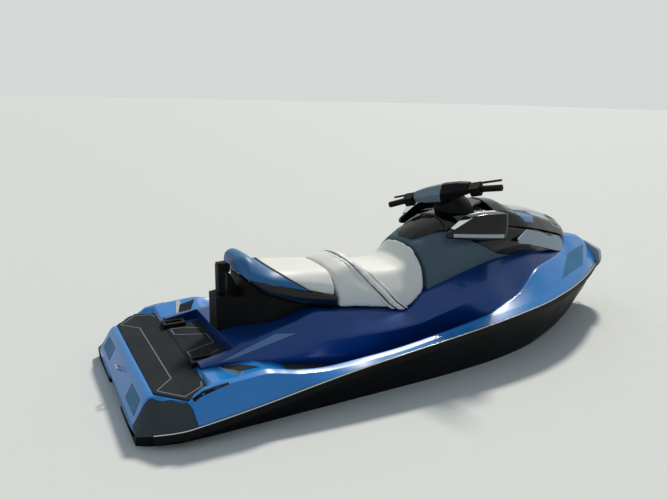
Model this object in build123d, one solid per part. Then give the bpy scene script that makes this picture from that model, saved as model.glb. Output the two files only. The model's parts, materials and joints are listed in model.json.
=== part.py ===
from build123d import *
import os
from collections import namedtuple
from math import atan2, cos, radians, sin

os.makedirs("parts", exist_ok=True)

# A personal watercraft, in millimetres. Stations run forward from the stern, y to port,
# z up from the waterline. The written pieces are moved so that the origin is amidships.

# Fits
SEAT_GAP = 0.3        # a soft or curved piece and the piece that carries it
RUN_GAP = 8           # a moving piece and a fixed piece beside it
PIN_GAP = 0.3         # a pin in its eye
LID_GAP = 0.5         # a closed lid and what it rests on
POST_GAP = 0.4        # a sliding post in its hole

# Hull and deck
BOND_INSET = 12       # bonding flange, from the hull side's foot inwards
WELL_DEPTH_MAX = 600  # height of the cutter that opens the wells
RAIL_OUT = 5.5        # rub rail, proud of the hull side
RAIL_UP = 8           # rub rail above the bond line
RAIL_DOWN = 34        # rub rail below the bond line
MAT = 6               # thickness of the traction mats
MAT_MARGIN = 12       # bare border round a mat
FOOT_MAT = (720, 1640, 350)     # footwell mat: aft x, fore x, inner y

HullRow = namedtuple("HullRow", "x keel_z chine_y chine_z rail_y rail_z bond_z")
HULL = [HullRow(*row) for row in [
    # x, keel_z, chine_y, chine_z, rail_y, rail_z, bond_z
    (0, -222, 455, -60, 508, 50, 0),
    (60, -226, 490, -58, 548, 58, 0),
    (210, -231, 520, -56, 604, 78, 0),
    (500, -235, 530, -54, 617, 117, 0),
    (950, -235, 535, -52, 621, 180, 0),
    (1500, -235, 537, -45, 622, 235, 0),
    (1850, -235, 525, -32, 612, 265, 0),
    (2250, -230, 475, 0, 573, 297, 40),
    (2550, -212, 405, 42, 500, 318, 85),
    (2800, -172, 322, 92, 404, 330, 135),
    (3000, -105, 230, 140, 306, 336, 185),
    (3180, 0, 150, 190, 205, 340, 235),
    (3330, 128, 72, 245, 108, 343, 288),
    (3425, 262, 24, 302, 38, 345, 322),
]]

DeckRow = namedtuple("DeckRow", "x out_y out_z in_y in_z top_z")
DECK = [DeckRow(*row) for row in [
    # x, out_y, out_z, in_y, in_z, top_z
    (0, 490, 60, 440, 68, 70),
    (85, 508, 120, 442, 190, 190),
    (210, 588, 150, 566, 190, 190),
    (285, 566, 228, 540, 234, 234),
    (550, 572, 246, 535, 257, 257),
    (786, 578, 200, 545, 208, 208),
    (943, 580, 197, 545, 203, 203),
    (1286, 580, 214, 545, 222, 222),
    (1521, 576, 243, 545, 251, 251),
    (1800, 566, 276, 535, 285, 285),
    (1990, 548, 296, 505, 306, 306),
    (2200, 538, 316, 450, 349, 349),
    (2440, 480, 345, 356, 442, 442),
    (2700, 402, 364, 258, 462, 470),
    (2850, 350, 372, 190, 470, 500),
    (3000, 286, 378, 150, 478, 545),
    (3180, 180, 380, 85, 468, 518),
    (3320, 98, 374, 45, 415, 432),
    (3395, 52, 366, 24, 372, 380),
    (3425, 28, 360, 14, 364, 368),
]]

# What is cut from the deck: the platform, the shoulders ahead of it and the footwells
WellRow = namedtuple("WellRow", "x rim_y foot_y floor_z")
PLATFORM = [WellRow(*row) for row in [
    # x, rim_y, foot_y, floor_z
    (205, 572, 566, 190),
    (285, 540, 512, 200),
    (312, 508, 498, 202),
]]
FOOTWELL = [WellRow(*row) for row in [
    # x, rim_y, foot_y, floor_z
    (575, 535, 470, 240),
    (640, 536, 478, 200),
    (720, 540, 485, 170),
    (885, 542, 490, 133),
    (1060, 542, 490, 96),
    (1250, 542, 490, 62),
    (1640, 542, 490, 62),
    (1850, 530, 480, 150),
    (1990, 505, 455, 290),
]]
ShoulderRow = namedtuple("ShoulderRow", "x in_y in_z")
SHOULDER = [ShoulderRow(*row) for row in [
    # x, in_y, in_z
    (300, 275, 203),
    (470, 300, 218),
    (620, 330, 232),
]]
CHANNEL = (300, 640, 275, 206)  # middle of the platform: aft x, fore x, half width, floor z

# Centre body, which carries the seats
BodyRow = namedtuple("BodyRow", "x foot_y foot_z skirt_y skirt_z crease_y crease_z top_y top_z")
BODY = [BodyRow(*row) for row in [
    # x, foot_y, foot_z, skirt_y, skirt_z, crease_y, crease_z, top_y, top_z
    (325, 352, 190, 350, 226, 346, 232, 334, 238),
    (420, 362, 185, 354, 240, 340, 248, 312, 254),
    (540, 374, 180, 368, 236, 334, 260, 282, 280),
    (660, 378, 150, 374, 212, 342, 264, 280, 306),
    (836, 370, 95, 378, 174, 356, 262, 280, 345),
    (960, 358, 65, 380, 149, 368, 256, 276, 374),
    (1106, 352, 55, 380, 122, 380, 252, 278, 353),
    (1300, 352, 45, 380, 105, 396, 250, 286, 330),
    (1500, 352, 45, 384, 108, 408, 262, 305, 308),
    (1650, 365, 55, 398, 140, 420, 300, 285, 388),
    (1850, 424, 120, 432, 205, 424, 352, 270, 442),
    (1990, 505, 280, 478, 318, 402, 398, 262, 474),
    (2200, 452, 330, 420, 368, 338, 446, 252, 512),
    (2440, 358, 420, 340, 444, 290, 484, 242, 524),
    (2700, 262, 440, 256, 458, 236, 474, 205, 490),
    (2860, 185, 450, 183, 462, 174, 468, 160, 474),
]]
BODY_SPLIT = 1650     # the body is moulded in two lengths, joined here
TAIL_GAP = (320, 500, 297)      # open between the body's two tails: aft x, fore x, half width

# Console and fairing under the hood
DashRow = namedtuple("DashRow", "x low_y low_z mid_y mid_z top_y top_z crown_z")
DASH = [DashRow(*row) for row in [
    # x, low_y, low_z, mid_y, mid_z, top_y, top_z, crown_z
    (1660, 272, 380, 250, 520, 130, 622, 632),
    (1810, 268, 425, 252, 600, 165, 680, 690),
    (2000, 258, 468, 262, 620, 205, 695, 705),
    (2200, 250, 505, 280, 630, 228, 702, 706),
    (2420, 236, 515, 268, 610, 252, 678, 684),
    (2700, 200, 482, 196, 570, 186, 616, 622),
    (2890, 148, 464, 144, 520, 130, 568, 570),
]]
DASH_SPLIT_AFT = (1808, 686)    # grey console below this line, black fairing above it
DASH_SPLIT_FORE = (2268, 518)

# Front storage lid
HoodRow = namedtuple("HoodRow", "x edge_y edge_z mid_y mid_z crown_z")
HOOD = [HoodRow(*row) for row in [
    # x, edge_y, edge_z, mid_y, mid_z, crown_z
    (2215, 222, 705, 170, 786, 844),
    (2310, 236, 692, 182, 774, 836),
    (2420, 248, 678, 190, 745, 790),
    (2600, 212, 640, 160, 712, 760),
    (2800, 158, 590, 118, 652, 706),
    (2920, 122, 556, 88, 612, 658),
    (3020, 52, 545, 36, 566, 576),
]]
HOOD_WALL = 18
BIN_FLOOR = 530
BIN_WALL = 6

# Seats
SeatRow = namedtuple("SeatRow", "x low_y low_z side_y side_z top_y top_z crown_z")
REAR_SEAT = [SeatRow(*row) for row in [
    # x, low_y, low_z, side_y, side_z, top_y, top_z, crown_z
    (602, 120, 566, 130, 600, 95, 646, 650),
    (640, 196, 546, 190, 585, 120, 648, 658),
    (760, 214, 512, 206, 545, 150, 574, 582),
    (950, 235, 459, 226, 500, 165, 556, 566),
    (1085, 246, 421, 238, 470, 165, 545, 556),
]]
BAND_TOP = (648, 662)           # slanting seam between the blue band and the pale cover
BAND_FOOT = (930, 470)
DRIVER_SEAT = [SeatRow(*row) for row in [
    # x, low_y, low_z, side_y, side_z, top_y, top_z, crown_z
    (1100, 250, 362, 246, 440, 165, 540, 552),
    (1200, 262, 352, 252, 430, 160, 560, 582),
    (1330, 278, 334, 262, 400, 165, 505, 532),
    (1500, 300, 312, 268, 390, 170, 496, 516),
    (1585, 285, 345, 262, 430, 160, 520, 532),
    (1645, 270, 392, 252, 500, 138, 612, 628),
]]
BOLSTER_PROUD = 16
BOLSTER_WIDTH = 78
BOLSTER_TOP = (1205, 640)       # its middle line runs from here
BOLSTER_FOOT = (1500, 300)      # down and forward to here
SHELL_AFT = (640, 200, 528, 550)      # x, half width, low z, top z
SHELL_FORE = (1090, 252, 362, 424)

# Pedestal under the rear seat
PED_AFT_X = 500
PED_PLAN = [(500, 60), (600, 95), (760, 195), (1100, 195)]      # x, half width
PED_BIN = (720, 1010, 130, 250)       # aft x, fore x, half width, floor z

# Tow pylon
PYLON_X = 556
PYLON_FOOT_Z = 446
PYLON_HEAD_Z = 560
PYLON_HEAD_HIGH = 50
PYLON_HEAD = 62
PYLON_SLOT = 14
PYLON_BASE = 118
PYLON_THICK = 52
PYLON_POST = 36
PYLON_POST_DEEP = 300

# Engine and jet pump
ENGINE = (1060, 1640, 180, -140, 245)  # aft x, fore x, half width, low z, top z
ENGINE_ROOM_GAP = 12
TUNNEL_HALF = 150
TUNNEL_FORE = 480
TUNNEL_TOP = 52
PUMP_Z = -118
PUMP_R = 95
PUMP_BORE = 80.5
PUMP_AFT = 300
IMPELLER_R = 77.5
IMPELLER_X = 385
IMPELLER_LONG = 60
HUB_R = 26
SHAFT_R = 14
TAIL_PIN_R = 10       # impeller's after pin, in the stator hub
BLADES = 4
DUCT_HALF = 82
DUCT_AFT = 560
DUCT_FORE = 960
PIVOT_X = 150         # steering nozzle, trim ring and reverse bucket turn here
VENTURI_R = 42
VENTURI_FORE = 205
PUMP_WALL = 6
PIN_R = 5
BLADE_PITCH = 35
NOZZLE_FRONT_R = 62
NOZZLE_BACK_R = 40
NOZZLE_WALL = 5
NOZZLE_LONG = 108
RING_R = 77
RING_WALL = 8
RING_LONG = 30
EAR_Y = 92
EAR_THICK = 8
EAR_WIDE = 30
PLATE_AFT = 75
GRATE_LOW = -212
GRATE_FORE = 925
GRATE_BARS = 5
BUCKET_R = 129
BUCKET_WALL = 6
BUCKET_HALF = 116
BUCKET_UP_LOW = 42    # degrees above straight aft of the lower lip, raised
BUCKET_UP_HIGH = 112
PLATE_THICK = 10

# Steering
COLUMN_TILT = 37      # degrees back from upright
STEER_REST = 25       # degrees to port, as it stands
STEER_RATIO = 0.8     # nozzle turn for each degree of the bar
STEER_X = 1940
STEER_Z = 893
BAR_HALF = 385
BAR_R = 14
GRIP_R = 19
GRIP_LONG = 118
BAR_DROP = 23
COLUMN_R = 38
COLUMN_LOW = 245       # the fixed column, measured down its axis from the bar
COLUMN_HIGH = 95
COVER = (200, 150, 50, 74)      # cone over the column: low end and radius, high end and radius
COVER_FORE = 2092
STEM_R = 16
STEM_COLLAR_R = 34
BAR_SWEEP = 25
HOUSING_WIDE = 66
PAD_HALF = BAR_HALF - GRIP_LONG - HOUSING_WIDE - 15

# Instruments
COWL = [
    # x, low, low_y, mid_y, mid_z, top_y, top_z, crown
    (1860, 660, 160, 146, 704, 108, 748, 764),
    (1960, 660, 190, 170, 720, 110, 768, 782),
    (2060, 660, 200, 180, 730, 120, 776, 792),
    (2210, 660, 210, 195, 730, 150, 780, 796),
]
DISPLAY_X = 2150
DISPLAY_Z = 806
DISPLAY_TILT = 24
DISPLAY_WIDE = 150
DISPLAY_DEEP = 92
DISPLAY_THICK = 22
GLOVE_LID = [
    # x, low, low_y, top_y, top_z, crown
    (1672, 636, 66, 52, 644, 652),
    (1750, 642, 130, 94, 692, 706),
    (1850, 650, 166, 112, 744, 760),
]
LID_WALL = 10
GLOVE_BIN = (1690, 1815, 90, 560)      # aft x, fore x, half width, floor z
LEVER_THICK = 10

# Pods and side panels, port side
PodRow = namedtuple("PodRow", "x in_y out_y low_z top_z")
POD = [PodRow(*row) for row in [
    # x, in_y, out_y, low_z, top_z
    (1806, 222, 252, 662, 696),
    (1944, 222, 296, 650, 787),
    (2150, 226, 350, 645, 802),
    (2205, 228, 306, 650, 780),
]]
GLASS = 3
PANEL = 14
SIDE_PANEL = [
    # x, low_y, low_z, top_y, top_z
    (2312, 290, 600, 284, 624),
    (2419, 272, 582, 246, 668),
    (2780, 192, 482, 152, 582),
    (2888, 150, 464, 120, 552),
]

# Fittings
DRAIN_R = 11          # threaded drain sockets in the transom
DRAIN_DEEP = 25
DRAIN_Y = 300
DRAIN_Z = -90
EYE_WIRE = 8
EYE_WIDE = 46
EYE_REACH = 30
BASE_LONG = 118
BASE_WIDE = 74
BASE_TOP = 232
BASE_X = 360
BASE_Y = 258
BUMPER_DEEP = 25

MIDSHIP = (HULL[-1].x + BUMPER_DEEP) / 2


def at(table, column, x):
    """Value of one column of a station table at x, straight between its rows."""
    rows = table
    if x <= rows[0].x:
        return getattr(rows[0], column)
    for low, high in zip(rows, rows[1:]):
        if x <= high.x:
            share = (x - low.x) / (high.x - low.x)
            return getattr(low, column) * (1 - share) + getattr(high, column) * share
    return getattr(rows[-1], column)


def section(x, half):
    """Closed wire across the craft: half holds (y, z) from the lowest to the highest point."""
    port = [(x, y, z) for y, z in half]
    starboard = [(x, -y, z) for y, z in reversed(half) if y > 0.001]
    return Wire.make_polygon([Vector(*p) for p in port + starboard], close=True)


def along(stations):
    """Straight-sided solid through cross sections, each given as x and its half outline."""
    return Solid.make_loft([section(x, half) for x, half in stations], ruled=True)


def one_side(sections):
    """Straight-sided solid through closed outlines on the port side, each an x and (y, z) points."""
    return Solid.make_loft([Wire.make_polygon([Vector(x, y, z) for y, z in pts], close=True)
                            for x, pts in sections], ruled=True)


def side_prism(points, half_width, middle_y=0):
    """Prism across the craft from an outline of (x, z) points."""
    wire = Wire.make_polygon([Vector(x, middle_y - half_width, z) for x, z in points], close=True)
    return Solid.extrude(Face(wire), Vector(0, 2 * half_width, 0))


def plan_prism(points, low_z, high_z):
    """Upright prism from an outline of (x, y) points."""
    wire = Wire.make_polygon([Vector(x, y, low_z) for x, y in points], close=True)
    return Solid.extrude(Face(wire), Vector(0, 0, high_z - low_z))


def block(low, high):
    """Box between two corners."""
    return Solid.make_box(*[h - l for l, h in zip(low, high)], Plane(origin=low))


def rod(start, end, radius):
    """Round bar between two points."""
    start, end = Vector(*start), Vector(*end)
    plane = Plane(origin=start, z_dir=end - start)
    return Solid.make_cylinder(radius, (end - start).length, plane)


def below_line(start, end, low_z=-500):
    """Everything under the line through two (x, z) points, across the whole beam."""
    slope = (end[1] - start[1]) / (end[0] - start[0])
    x0, x1 = -100, 3600
    z0, z1 = start[1] + slope * (x0 - start[0]), start[1] + slope * (x1 - start[0])
    low = min(low_z, z0 - 10, z1 - 10)
    return side_prism([(x0, low), (x1, low), (x1, z1), (x0, z0)], 700)


def biggest(shape):
    """The largest solid of a cut piece, without slivers."""
    return max(shape.solids(), key=lambda s: s.volume)


def mirrored(shape):
    """The same piece on the other side of the craft."""
    return shape.mirror(Plane.XZ)


def put(name, *shapes):
    """Write one node, moved so that the origin is amidships."""
    solids = [s for shape in shapes for s in shape.solids()]
    moved = [Pos(-MIDSHIP, 0, 0) * s for s in solids]
    export_step(moved[0] if len(moved) == 1 else Compound(children=moved), f"parts/{name}.step")


# Hull and deck share every station, so that their bonded faces are the same
stations = sorted({row.x for row in HULL} | {row.x for row in DECK})


def bond_y(x):
    return at(HULL, "chine_y", x) - BOND_INSET


def side_y(x):
    """Half width of the hull's side at the height of the bonding flange's foot."""
    chine_y, chine_z, rail_y, rail_z, bond_z = (
        at(HULL, c, x) for c in ("chine_y", "chine_z", "rail_y", "rail_z", "bond_z"))
    return chine_y + (rail_y - chine_y) * (bond_z - chine_z) / (rail_z - chine_z)


def hull_half(x):
    bond_z = at(HULL, "bond_z", x)
    return [(0, at(HULL, "keel_z", x)), (at(HULL, "chine_y", x), at(HULL, "chine_z", x)),
            (side_y(x), bond_z), (0, bond_z)]


def topside_section(x):
    rail_y, rail_z, bond_z = (at(HULL, c, x) for c in ("rail_y", "rail_z", "bond_z"))
    return [(bond_y(x), bond_z), (side_y(x), bond_z), (rail_y, rail_z), (bond_y(x), rail_z)]


def deck_half(x):
    rail_y, rail_z, bond_z = (at(HULL, c, x) for c in ("rail_y", "rail_z", "bond_z"))
    return [(0, bond_z), (bond_y(x), bond_z), (bond_y(x), rail_z), (rail_y, rail_z),
            (at(DECK, "out_y", x), at(DECK, "out_z", x)),
            (at(DECK, "in_y", x), at(DECK, "in_z", x)), (0, at(DECK, "top_z", x))]


hull_form = along([(x, hull_half(x)) for x in stations])
topside_port = one_side([(x, topside_section(x)) for x in stations])
deck_form = along([(x, deck_half(x)) for x in stations])


def well(rows):
    """Cutter through a table of floors: foot and rim on each side, open above."""
    return along([(row.x, [(0, row.floor_z), (row.foot_y, row.floor_z),
                           (row.rim_y, at(DECK, "in_z", row.x) + 1),
                           (row.rim_y, WELL_DEPTH_MAX), (0, WELL_DEPTH_MAX)]) for row in rows])


shoulder_cut = along([(row.x, [(0, row.in_z), (row.in_y, row.in_z),
                               (at(DECK, "in_y", row.x), at(DECK, "in_z", row.x)),
                               (at(DECK, "in_y", row.x), WELL_DEPTH_MAX), (0, WELL_DEPTH_MAX)])
                      for row in SHOULDER])
channel_aft, channel_fore, channel_half, channel_floor = CHANNEL
channel = block((channel_aft, -channel_half, channel_floor), (channel_fore, channel_half, WELL_DEPTH_MAX))

# Engine room through hull, deck and centre body
eng_aft, eng_fore, eng_half, eng_low, eng_top = ENGINE
g = ENGINE_ROOM_GAP
engine_room = block((eng_aft - g, -eng_half - g, eng_low), (eng_fore + g, eng_half + g, eng_top + g))
engine_block = block((eng_aft, -eng_half, eng_low), (eng_fore, eng_half, eng_top))

# Pump tunnel, open below and astern, and the sloping intake duct ahead of it
tunnel = block((-10, -TUNNEL_HALF, -400), (TUNNEL_FORE, TUNNEL_HALF, TUNNEL_TOP))
duct = side_prism([(TUNNEL_FORE - 1, PUMP_Z - PUMP_BORE), (TUNNEL_FORE - 1, PUMP_Z + PUMP_BORE),
                   (DUCT_AFT, PUMP_Z + PUMP_BORE), (DUCT_FORE, -205), (DUCT_FORE, -400),
                   (DUCT_AFT, -400), (DUCT_AFT, PUMP_Z - PUMP_BORE)], DUCT_HALF)
shaft_bore = rod((TUNNEL_FORE, 0, PUMP_Z), (eng_aft - g + 1, 0, PUMP_Z), SHAFT_R + RUN_GAP)

hull = hull_form - engine_room - tunnel - duct - shaft_bore
drains = [rod((0, y, DRAIN_Z), (DRAIN_DEEP, y, DRAIN_Z), DRAIN_R) for y in (-DRAIN_Y, DRAIN_Y)]
hull = hull - drains[0] - drains[1]
quarter_room = block((-10, 0, -400), (TUNNEL_FORE, 700, 400))
quarter_port = hull & quarter_room
hull = hull - quarter_room - mirrored(quarter_room)
deck_full = deck_form - well(PLATFORM) - well(FOOTWELL) - shoulder_cut - channel - engine_room - tunnel

# Black corner caps take the place of the deck's two after corners
cap_plan = [(-20, 430), (86, 444), (214, 568), (262, 640), (262, 700), (-20, 700)]
cap_cut = plan_prism(cap_plan, -50, 260)
caps = [deck_full & cap_cut, deck_full & mirrored(cap_cut)]
gunwale_plan = [(row.x, row.foot_y) for row in FOOTWELL] + [(FOOTWELL[-1].x, 700), (FOOTWELL[0].x, 700)]
gunwale_room = plan_prism(gunwale_plan, -100, 500)
gunwale_port = deck_full & gunwale_room
deck = deck_full - cap_cut - mirrored(cap_cut) - gunwale_room - mirrored(gunwale_room)


# Rub rail round the bond line
def rail_section(x):
    rail_y, rail_z = at(HULL, "rail_y", x), at(HULL, "rail_z", x)
    flare = (rail_y - at(HULL, "chine_y", x)) / (rail_z - at(HULL, "chine_z", x))
    foot, out, inner = rail_y - flare * RAIL_DOWN + SEAT_GAP, rail_y + RAIL_OUT, rail_y + SEAT_GAP
    return [(foot, rail_z - RAIL_DOWN), (out, rail_z - RAIL_DOWN), (out, rail_z + RAIL_UP),
            (inner, rail_z + RAIL_UP), (inner, rail_z)]


rail_port = one_side([(x, rail_section(x)) for x in stations if x >= 60])

# Centre body on the deck
body_form = along([(r.x, [(0, r.foot_z), (r.foot_y, r.foot_z), (r.skirt_y, r.skirt_z),
                          (r.crease_y, r.crease_z), (r.top_y, r.top_z), (0, r.top_z)]) for r in BODY])
tail_aft, tail_fore, tail_half = TAIL_GAP
body_form -= block((tail_aft, -tail_half, 100), (tail_fore, tail_half, 500))
body_cut = body_form - deck_full - engine_room

# Console and fairing
dash_form = along([(r.x, [(0, r.low_z), (r.low_y, r.low_z), (r.mid_y, r.mid_z),
                          (r.top_y, r.top_z), (0, r.crown_z)]) for r in DASH])
under = below_line(DASH_SPLIT_AFT, DASH_SPLIT_FORE)
dash_shape = dash_form - body_form - deck_full
glove_bin = block((GLOVE_BIN[0], -GLOVE_BIN[2], GLOVE_BIN[3]), (GLOVE_BIN[1], GLOVE_BIN[2], 760))
bin_out = block((2450, -150, BIN_FLOOR), (2780, 150, 720))


# Seats
def seat_half(row, proud=0):
    return [(0, row.low_z), (row.low_y + proud, row.low_z), (row.side_y + proud, row.side_z),
            (row.top_y + proud * 0.6, row.top_z + proud), (0, row.crown_z + proud)]


(sa_x, sa_half, sa_low, sa_top), (sf_x, sf_half, sf_low, sf_top) = SHELL_AFT, SHELL_FORE
seat_shell = along([
    (sa_x, [(0, sa_low), (sa_half, sa_low), (sa_half + 6, sa_top), (0, sa_top)]),
    (sf_x, [(0, sf_low), (sf_half, sf_low), (sf_half + 4, sf_top), (0, sf_top)])])
rear_form = along([(r.x, seat_half(r)) for r in REAR_SEAT])
band_side = below_line(BAND_TOP, BAND_FOOT)
rear_form = rear_form - Pos(0, 0, SEAT_GAP) * seat_shell
seat_band = rear_form & band_side
rear_seat = rear_form - band_side

driver_form = along([(r.x, seat_half(r)) for r in DRIVER_SEAT])
proud_form = along([(r.x, seat_half(r, BOLSTER_PROUD)) for r in DRIVER_SEAT])
run = atan2(BOLSTER_FOOT[1] - BOLSTER_TOP[1], BOLSTER_FOOT[0] - BOLSTER_TOP[0])
across = (sin(run) * BOLSTER_WIDTH / 2, -cos(run) * BOLSTER_WIDTH / 2)
along_run = (cos(run) * 60, sin(run) * 60)
bolster_slab = side_prism([
    (BOLSTER_TOP[0] + across[0] - along_run[0], BOLSTER_TOP[1] + across[1] - along_run[1]),
    (BOLSTER_FOOT[0] + across[0] + along_run[0], BOLSTER_FOOT[1] + across[1] + along_run[1]),
    (BOLSTER_FOOT[0] - across[0] + along_run[0], BOLSTER_FOOT[1] - across[1] + along_run[1]),
    (BOLSTER_TOP[0] - across[0] - along_run[0], BOLSTER_TOP[1] - across[1] - along_run[1])], 400)
driver_seat = driver_form - body_form
seat_bolster = (proud_form & bolster_slab) - driver_form - body_form

# Pedestal, hollow for a bin under the rear seat, with the gusset of the tow pylon
bin_aft, bin_fore, bin_half, bin_floor = PED_BIN
post_aft = PYLON_X - PYLON_HEAD / 2
post_fore = post_aft + PYLON_POST
ped_form = side_prism([(PED_AFT_X, 120), (sf_x, 120), (sf_x, sf_low - SEAT_GAP), (sa_x, sa_low - SEAT_GAP),
                       (sa_x - 6, PYLON_FOOT_Z), (PED_AFT_X, PYLON_FOOT_Z)], PED_PLAN[-1][1])
ped_form &= plan_prism(PED_PLAN + [(x, -half) for x, half in reversed(PED_PLAN)], 0, 700)
gusset_aft = post_fore + PYLON_SLOT
gusset = side_prism([(gusset_aft, PYLON_FOOT_Z - 5), (post_aft + PYLON_BASE, PYLON_FOOT_Z - 5),
                     (post_aft + PYLON_HEAD, PYLON_HEAD_Z - RUN_GAP), (gusset_aft, PYLON_HEAD_Z - RUN_GAP)],
                    PYLON_THICK / 2)
seat_bin = block((bin_aft, -bin_half, bin_floor), (bin_fore, bin_half, 700))
post_half = PYLON_POST / 2 + POST_GAP
post_hole = block((post_aft - POST_GAP, -post_half, PYLON_FOOT_Z - PYLON_POST_DEEP - POST_GAP),
                  (post_fore + POST_GAP, post_half, PYLON_FOOT_Z + 1))
pedestal = ped_form - body_form - deck_full - seat_bin - post_hole + gusset

# Tow pylon: a square post with an overhanging head
post_top = PYLON_HEAD_Z + PYLON_HEAD_HIGH
pylon = block((post_aft, -PYLON_POST / 2, PYLON_FOOT_Z - PYLON_POST_DEEP),
              (post_fore, PYLON_POST / 2, post_top))
pylon += side_prism([(post_aft, PYLON_FOOT_Z + 6), (post_fore, PYLON_FOOT_Z + 6), (post_fore, PYLON_HEAD_Z),
                     (post_aft + PYLON_HEAD, PYLON_HEAD_Z), (post_aft + PYLON_HEAD, post_top - 10),
                     (post_aft + PYLON_HEAD - 12, post_top), (post_aft + 10, post_top - 4),
                     (post_aft, post_top - 16)], PYLON_THICK / 2)


# Hood: a lid with its own wall over the front bin
def hood_half(row, low_z, wall=0):
    return [(0, low_z), (row.edge_y - wall, low_z), (row.mid_y - wall, row.mid_z - wall),
            (0, row.crown_z - wall)]


hood_form = along([(r.x, hood_half(r, r.edge_z)) for r in HOOD])
hood_inner = along([(r.x, hood_half(r, r.edge_z - 30, HOOD_WALL)) for r in HOOD[:-1]])
hood_inner &= block((HOOD[0].x + HOOD_WALL, -400, 400), (HOOD[-2].x - HOOD_WALL, 400, 900))
room_sections = [(r.x, hood_half(r, r.edge_z - LID_GAP, -LID_GAP)) for r in HOOD]
hood_room = along([(HOOD[0].x - LID_GAP, room_sections[0][1])] + room_sections)
hood = hood_form - hood_inner - Pos(0, 0, LID_GAP) * deck_full

# Fairing and console carry the hood, pods and instruments
console = (dash_shape & under) - glove_bin
fairing = biggest(dash_shape - under - bin_out - hood_room)
centre_body = biggest(body_cut - post_hole - seat_bin)
fore_room = block((BODY_SPLIT, -700, 0), (BODY[-1].x, 700, 700))
centre_body_fore = centre_body & fore_room
centre_body = centre_body - fore_room
deck = deck - post_hole
front_bin = bin_out - block((2456, -144, BIN_FLOOR + BIN_WALL), (2774, 144, 721))
front_bin &= along([(r.x, [(0, 400), (r.top_y, 400), (r.top_y, r.top_z - 2), (0, r.top_z - 2)])
                    for r in DASH])


panel_form = one_side([(x, [(in_y, low), (in_y + PANEL, low), (top_y + PANEL, top), (top_y, top)])
                       for x, in_y, low, top_y, top in SIDE_PANEL])
panel_port = biggest(panel_form - dash_form - body_form - deck_form - hood_room)

pod_form = one_side([(r.x, [(r.in_y, r.low_z), (r.out_y, r.low_z), (r.out_y, r.top_z), (r.in_y, r.top_z)])
                     for r in POD])
pod_port = biggest(pod_form - dash_form - hood_room - panel_form)
glass_rows = [(x, at(POD, "in_y", x) + 4, at(POD, "out_y", x) - 4, at(POD, "top_z", x))
              for x in (1838, 1936)]
glass_form = one_side([(x, [(in_y, z), (out_y, z), (out_y, z + GLASS), (in_y, z + GLASS)])
                       for x, in_y, out_y, z in glass_rows])
glass_port = glass_form - pod_form

# Instrument cowl, display, glovebox lid and steering column on the console
axis_up = Vector(-sin(radians(COLUMN_TILT)), 0, cos(radians(COLUMN_TILT)))
steer_at = Vector(STEER_X, 0, STEER_Z)


def on_column(s):
    return steer_at + axis_up * s


column = rod(on_column(-COLUMN_LOW), on_column(-COLUMN_HIGH), COLUMN_R)
cover_low, cover_low_r, cover_high, cover_high_r = COVER
cover = Solid.make_cone(cover_low_r, cover_high_r, cover_low - cover_high,
                        Plane(origin=on_column(-cover_low), z_dir=axis_up))
cover &= block((1700, -300, 500), (COVER_FORE, 300, 1000))
cover -= rod(on_column(-COLUMN_HIGH), on_column(-cover_high + 1), STEM_COLLAR_R + RUN_GAP)
column_room = rod(on_column(-COLUMN_LOW - 40), on_column(20), COLUMN_R + SEAT_GAP)
cowl_form = along([(x, [(0, low), (low_y, low), (mid_y, mid_z), (top_y, top_z), (0, crown)])
                   for x, low, low_y, mid_y, mid_z, top_y, top_z, crown in COWL])
cowl = biggest(cowl_form - dash_form - column_room - pod_form - mirrored(pod_form) - hood_room)
column += biggest(cover - cowl_form - dash_form - pod_form - mirrored(pod_form))
column -= rod(on_column(-COLUMN_LOW - 1), on_column(-COLUMN_HIGH + 1), STEM_R + PIN_GAP)
console -= column_room
fairing -= column_room
display_plane = Plane(origin=(DISPLAY_X, 0, DISPLAY_Z), x_dir=(0, 1, 0),
                      z_dir=(-sin(radians(DISPLAY_TILT)), 0, cos(radians(DISPLAY_TILT))))
display = display_plane.location * Box(DISPLAY_WIDE, DISPLAY_DEEP, DISPLAY_THICK)
display = display - cowl_form - hood_room
lid_form = along([(x, [(0, low), (low_y, low), (top_y, top_z), (0, crown)])
                  for x, low, low_y, top_y, top_z, crown in GLOVE_LID])
lid_inner = along([(x, [(0, low - 20), (low_y - LID_WALL, low - 20), (top_y - LID_WALL, top_z - LID_WALL),
                        (0, crown - LID_WALL)]) for x, low, low_y, top_y, top_z, crown in GLOVE_LID])
lid_inner &= block((GLOVE_LID[0][0] + LID_WALL, -300, 500), (GLOVE_LID[-1][0] - LID_WALL, 300, 900))
glovebox_lid = lid_form - Pos(0, 0, LID_GAP) * dash_form - lid_inner

# Steering: built straight ahead in the column's own frame, then turned to its rest
steer_plane = Plane(origin=steer_at, x_dir=(cos(radians(COLUMN_TILT)), 0, sin(radians(COLUMN_TILT))),
                    z_dir=axis_up)


def steered(shape):
    return steer_plane.location * (Rot(0, 0, STEER_REST) * shape)


def bar_end(side, y):
    """Middle of the bar, at y from the centre: it sweeps aft and down towards its end."""
    share = y / BAR_HALF
    return (-BAR_SWEEP * share, side * y, -BAR_DROP * share)


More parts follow.
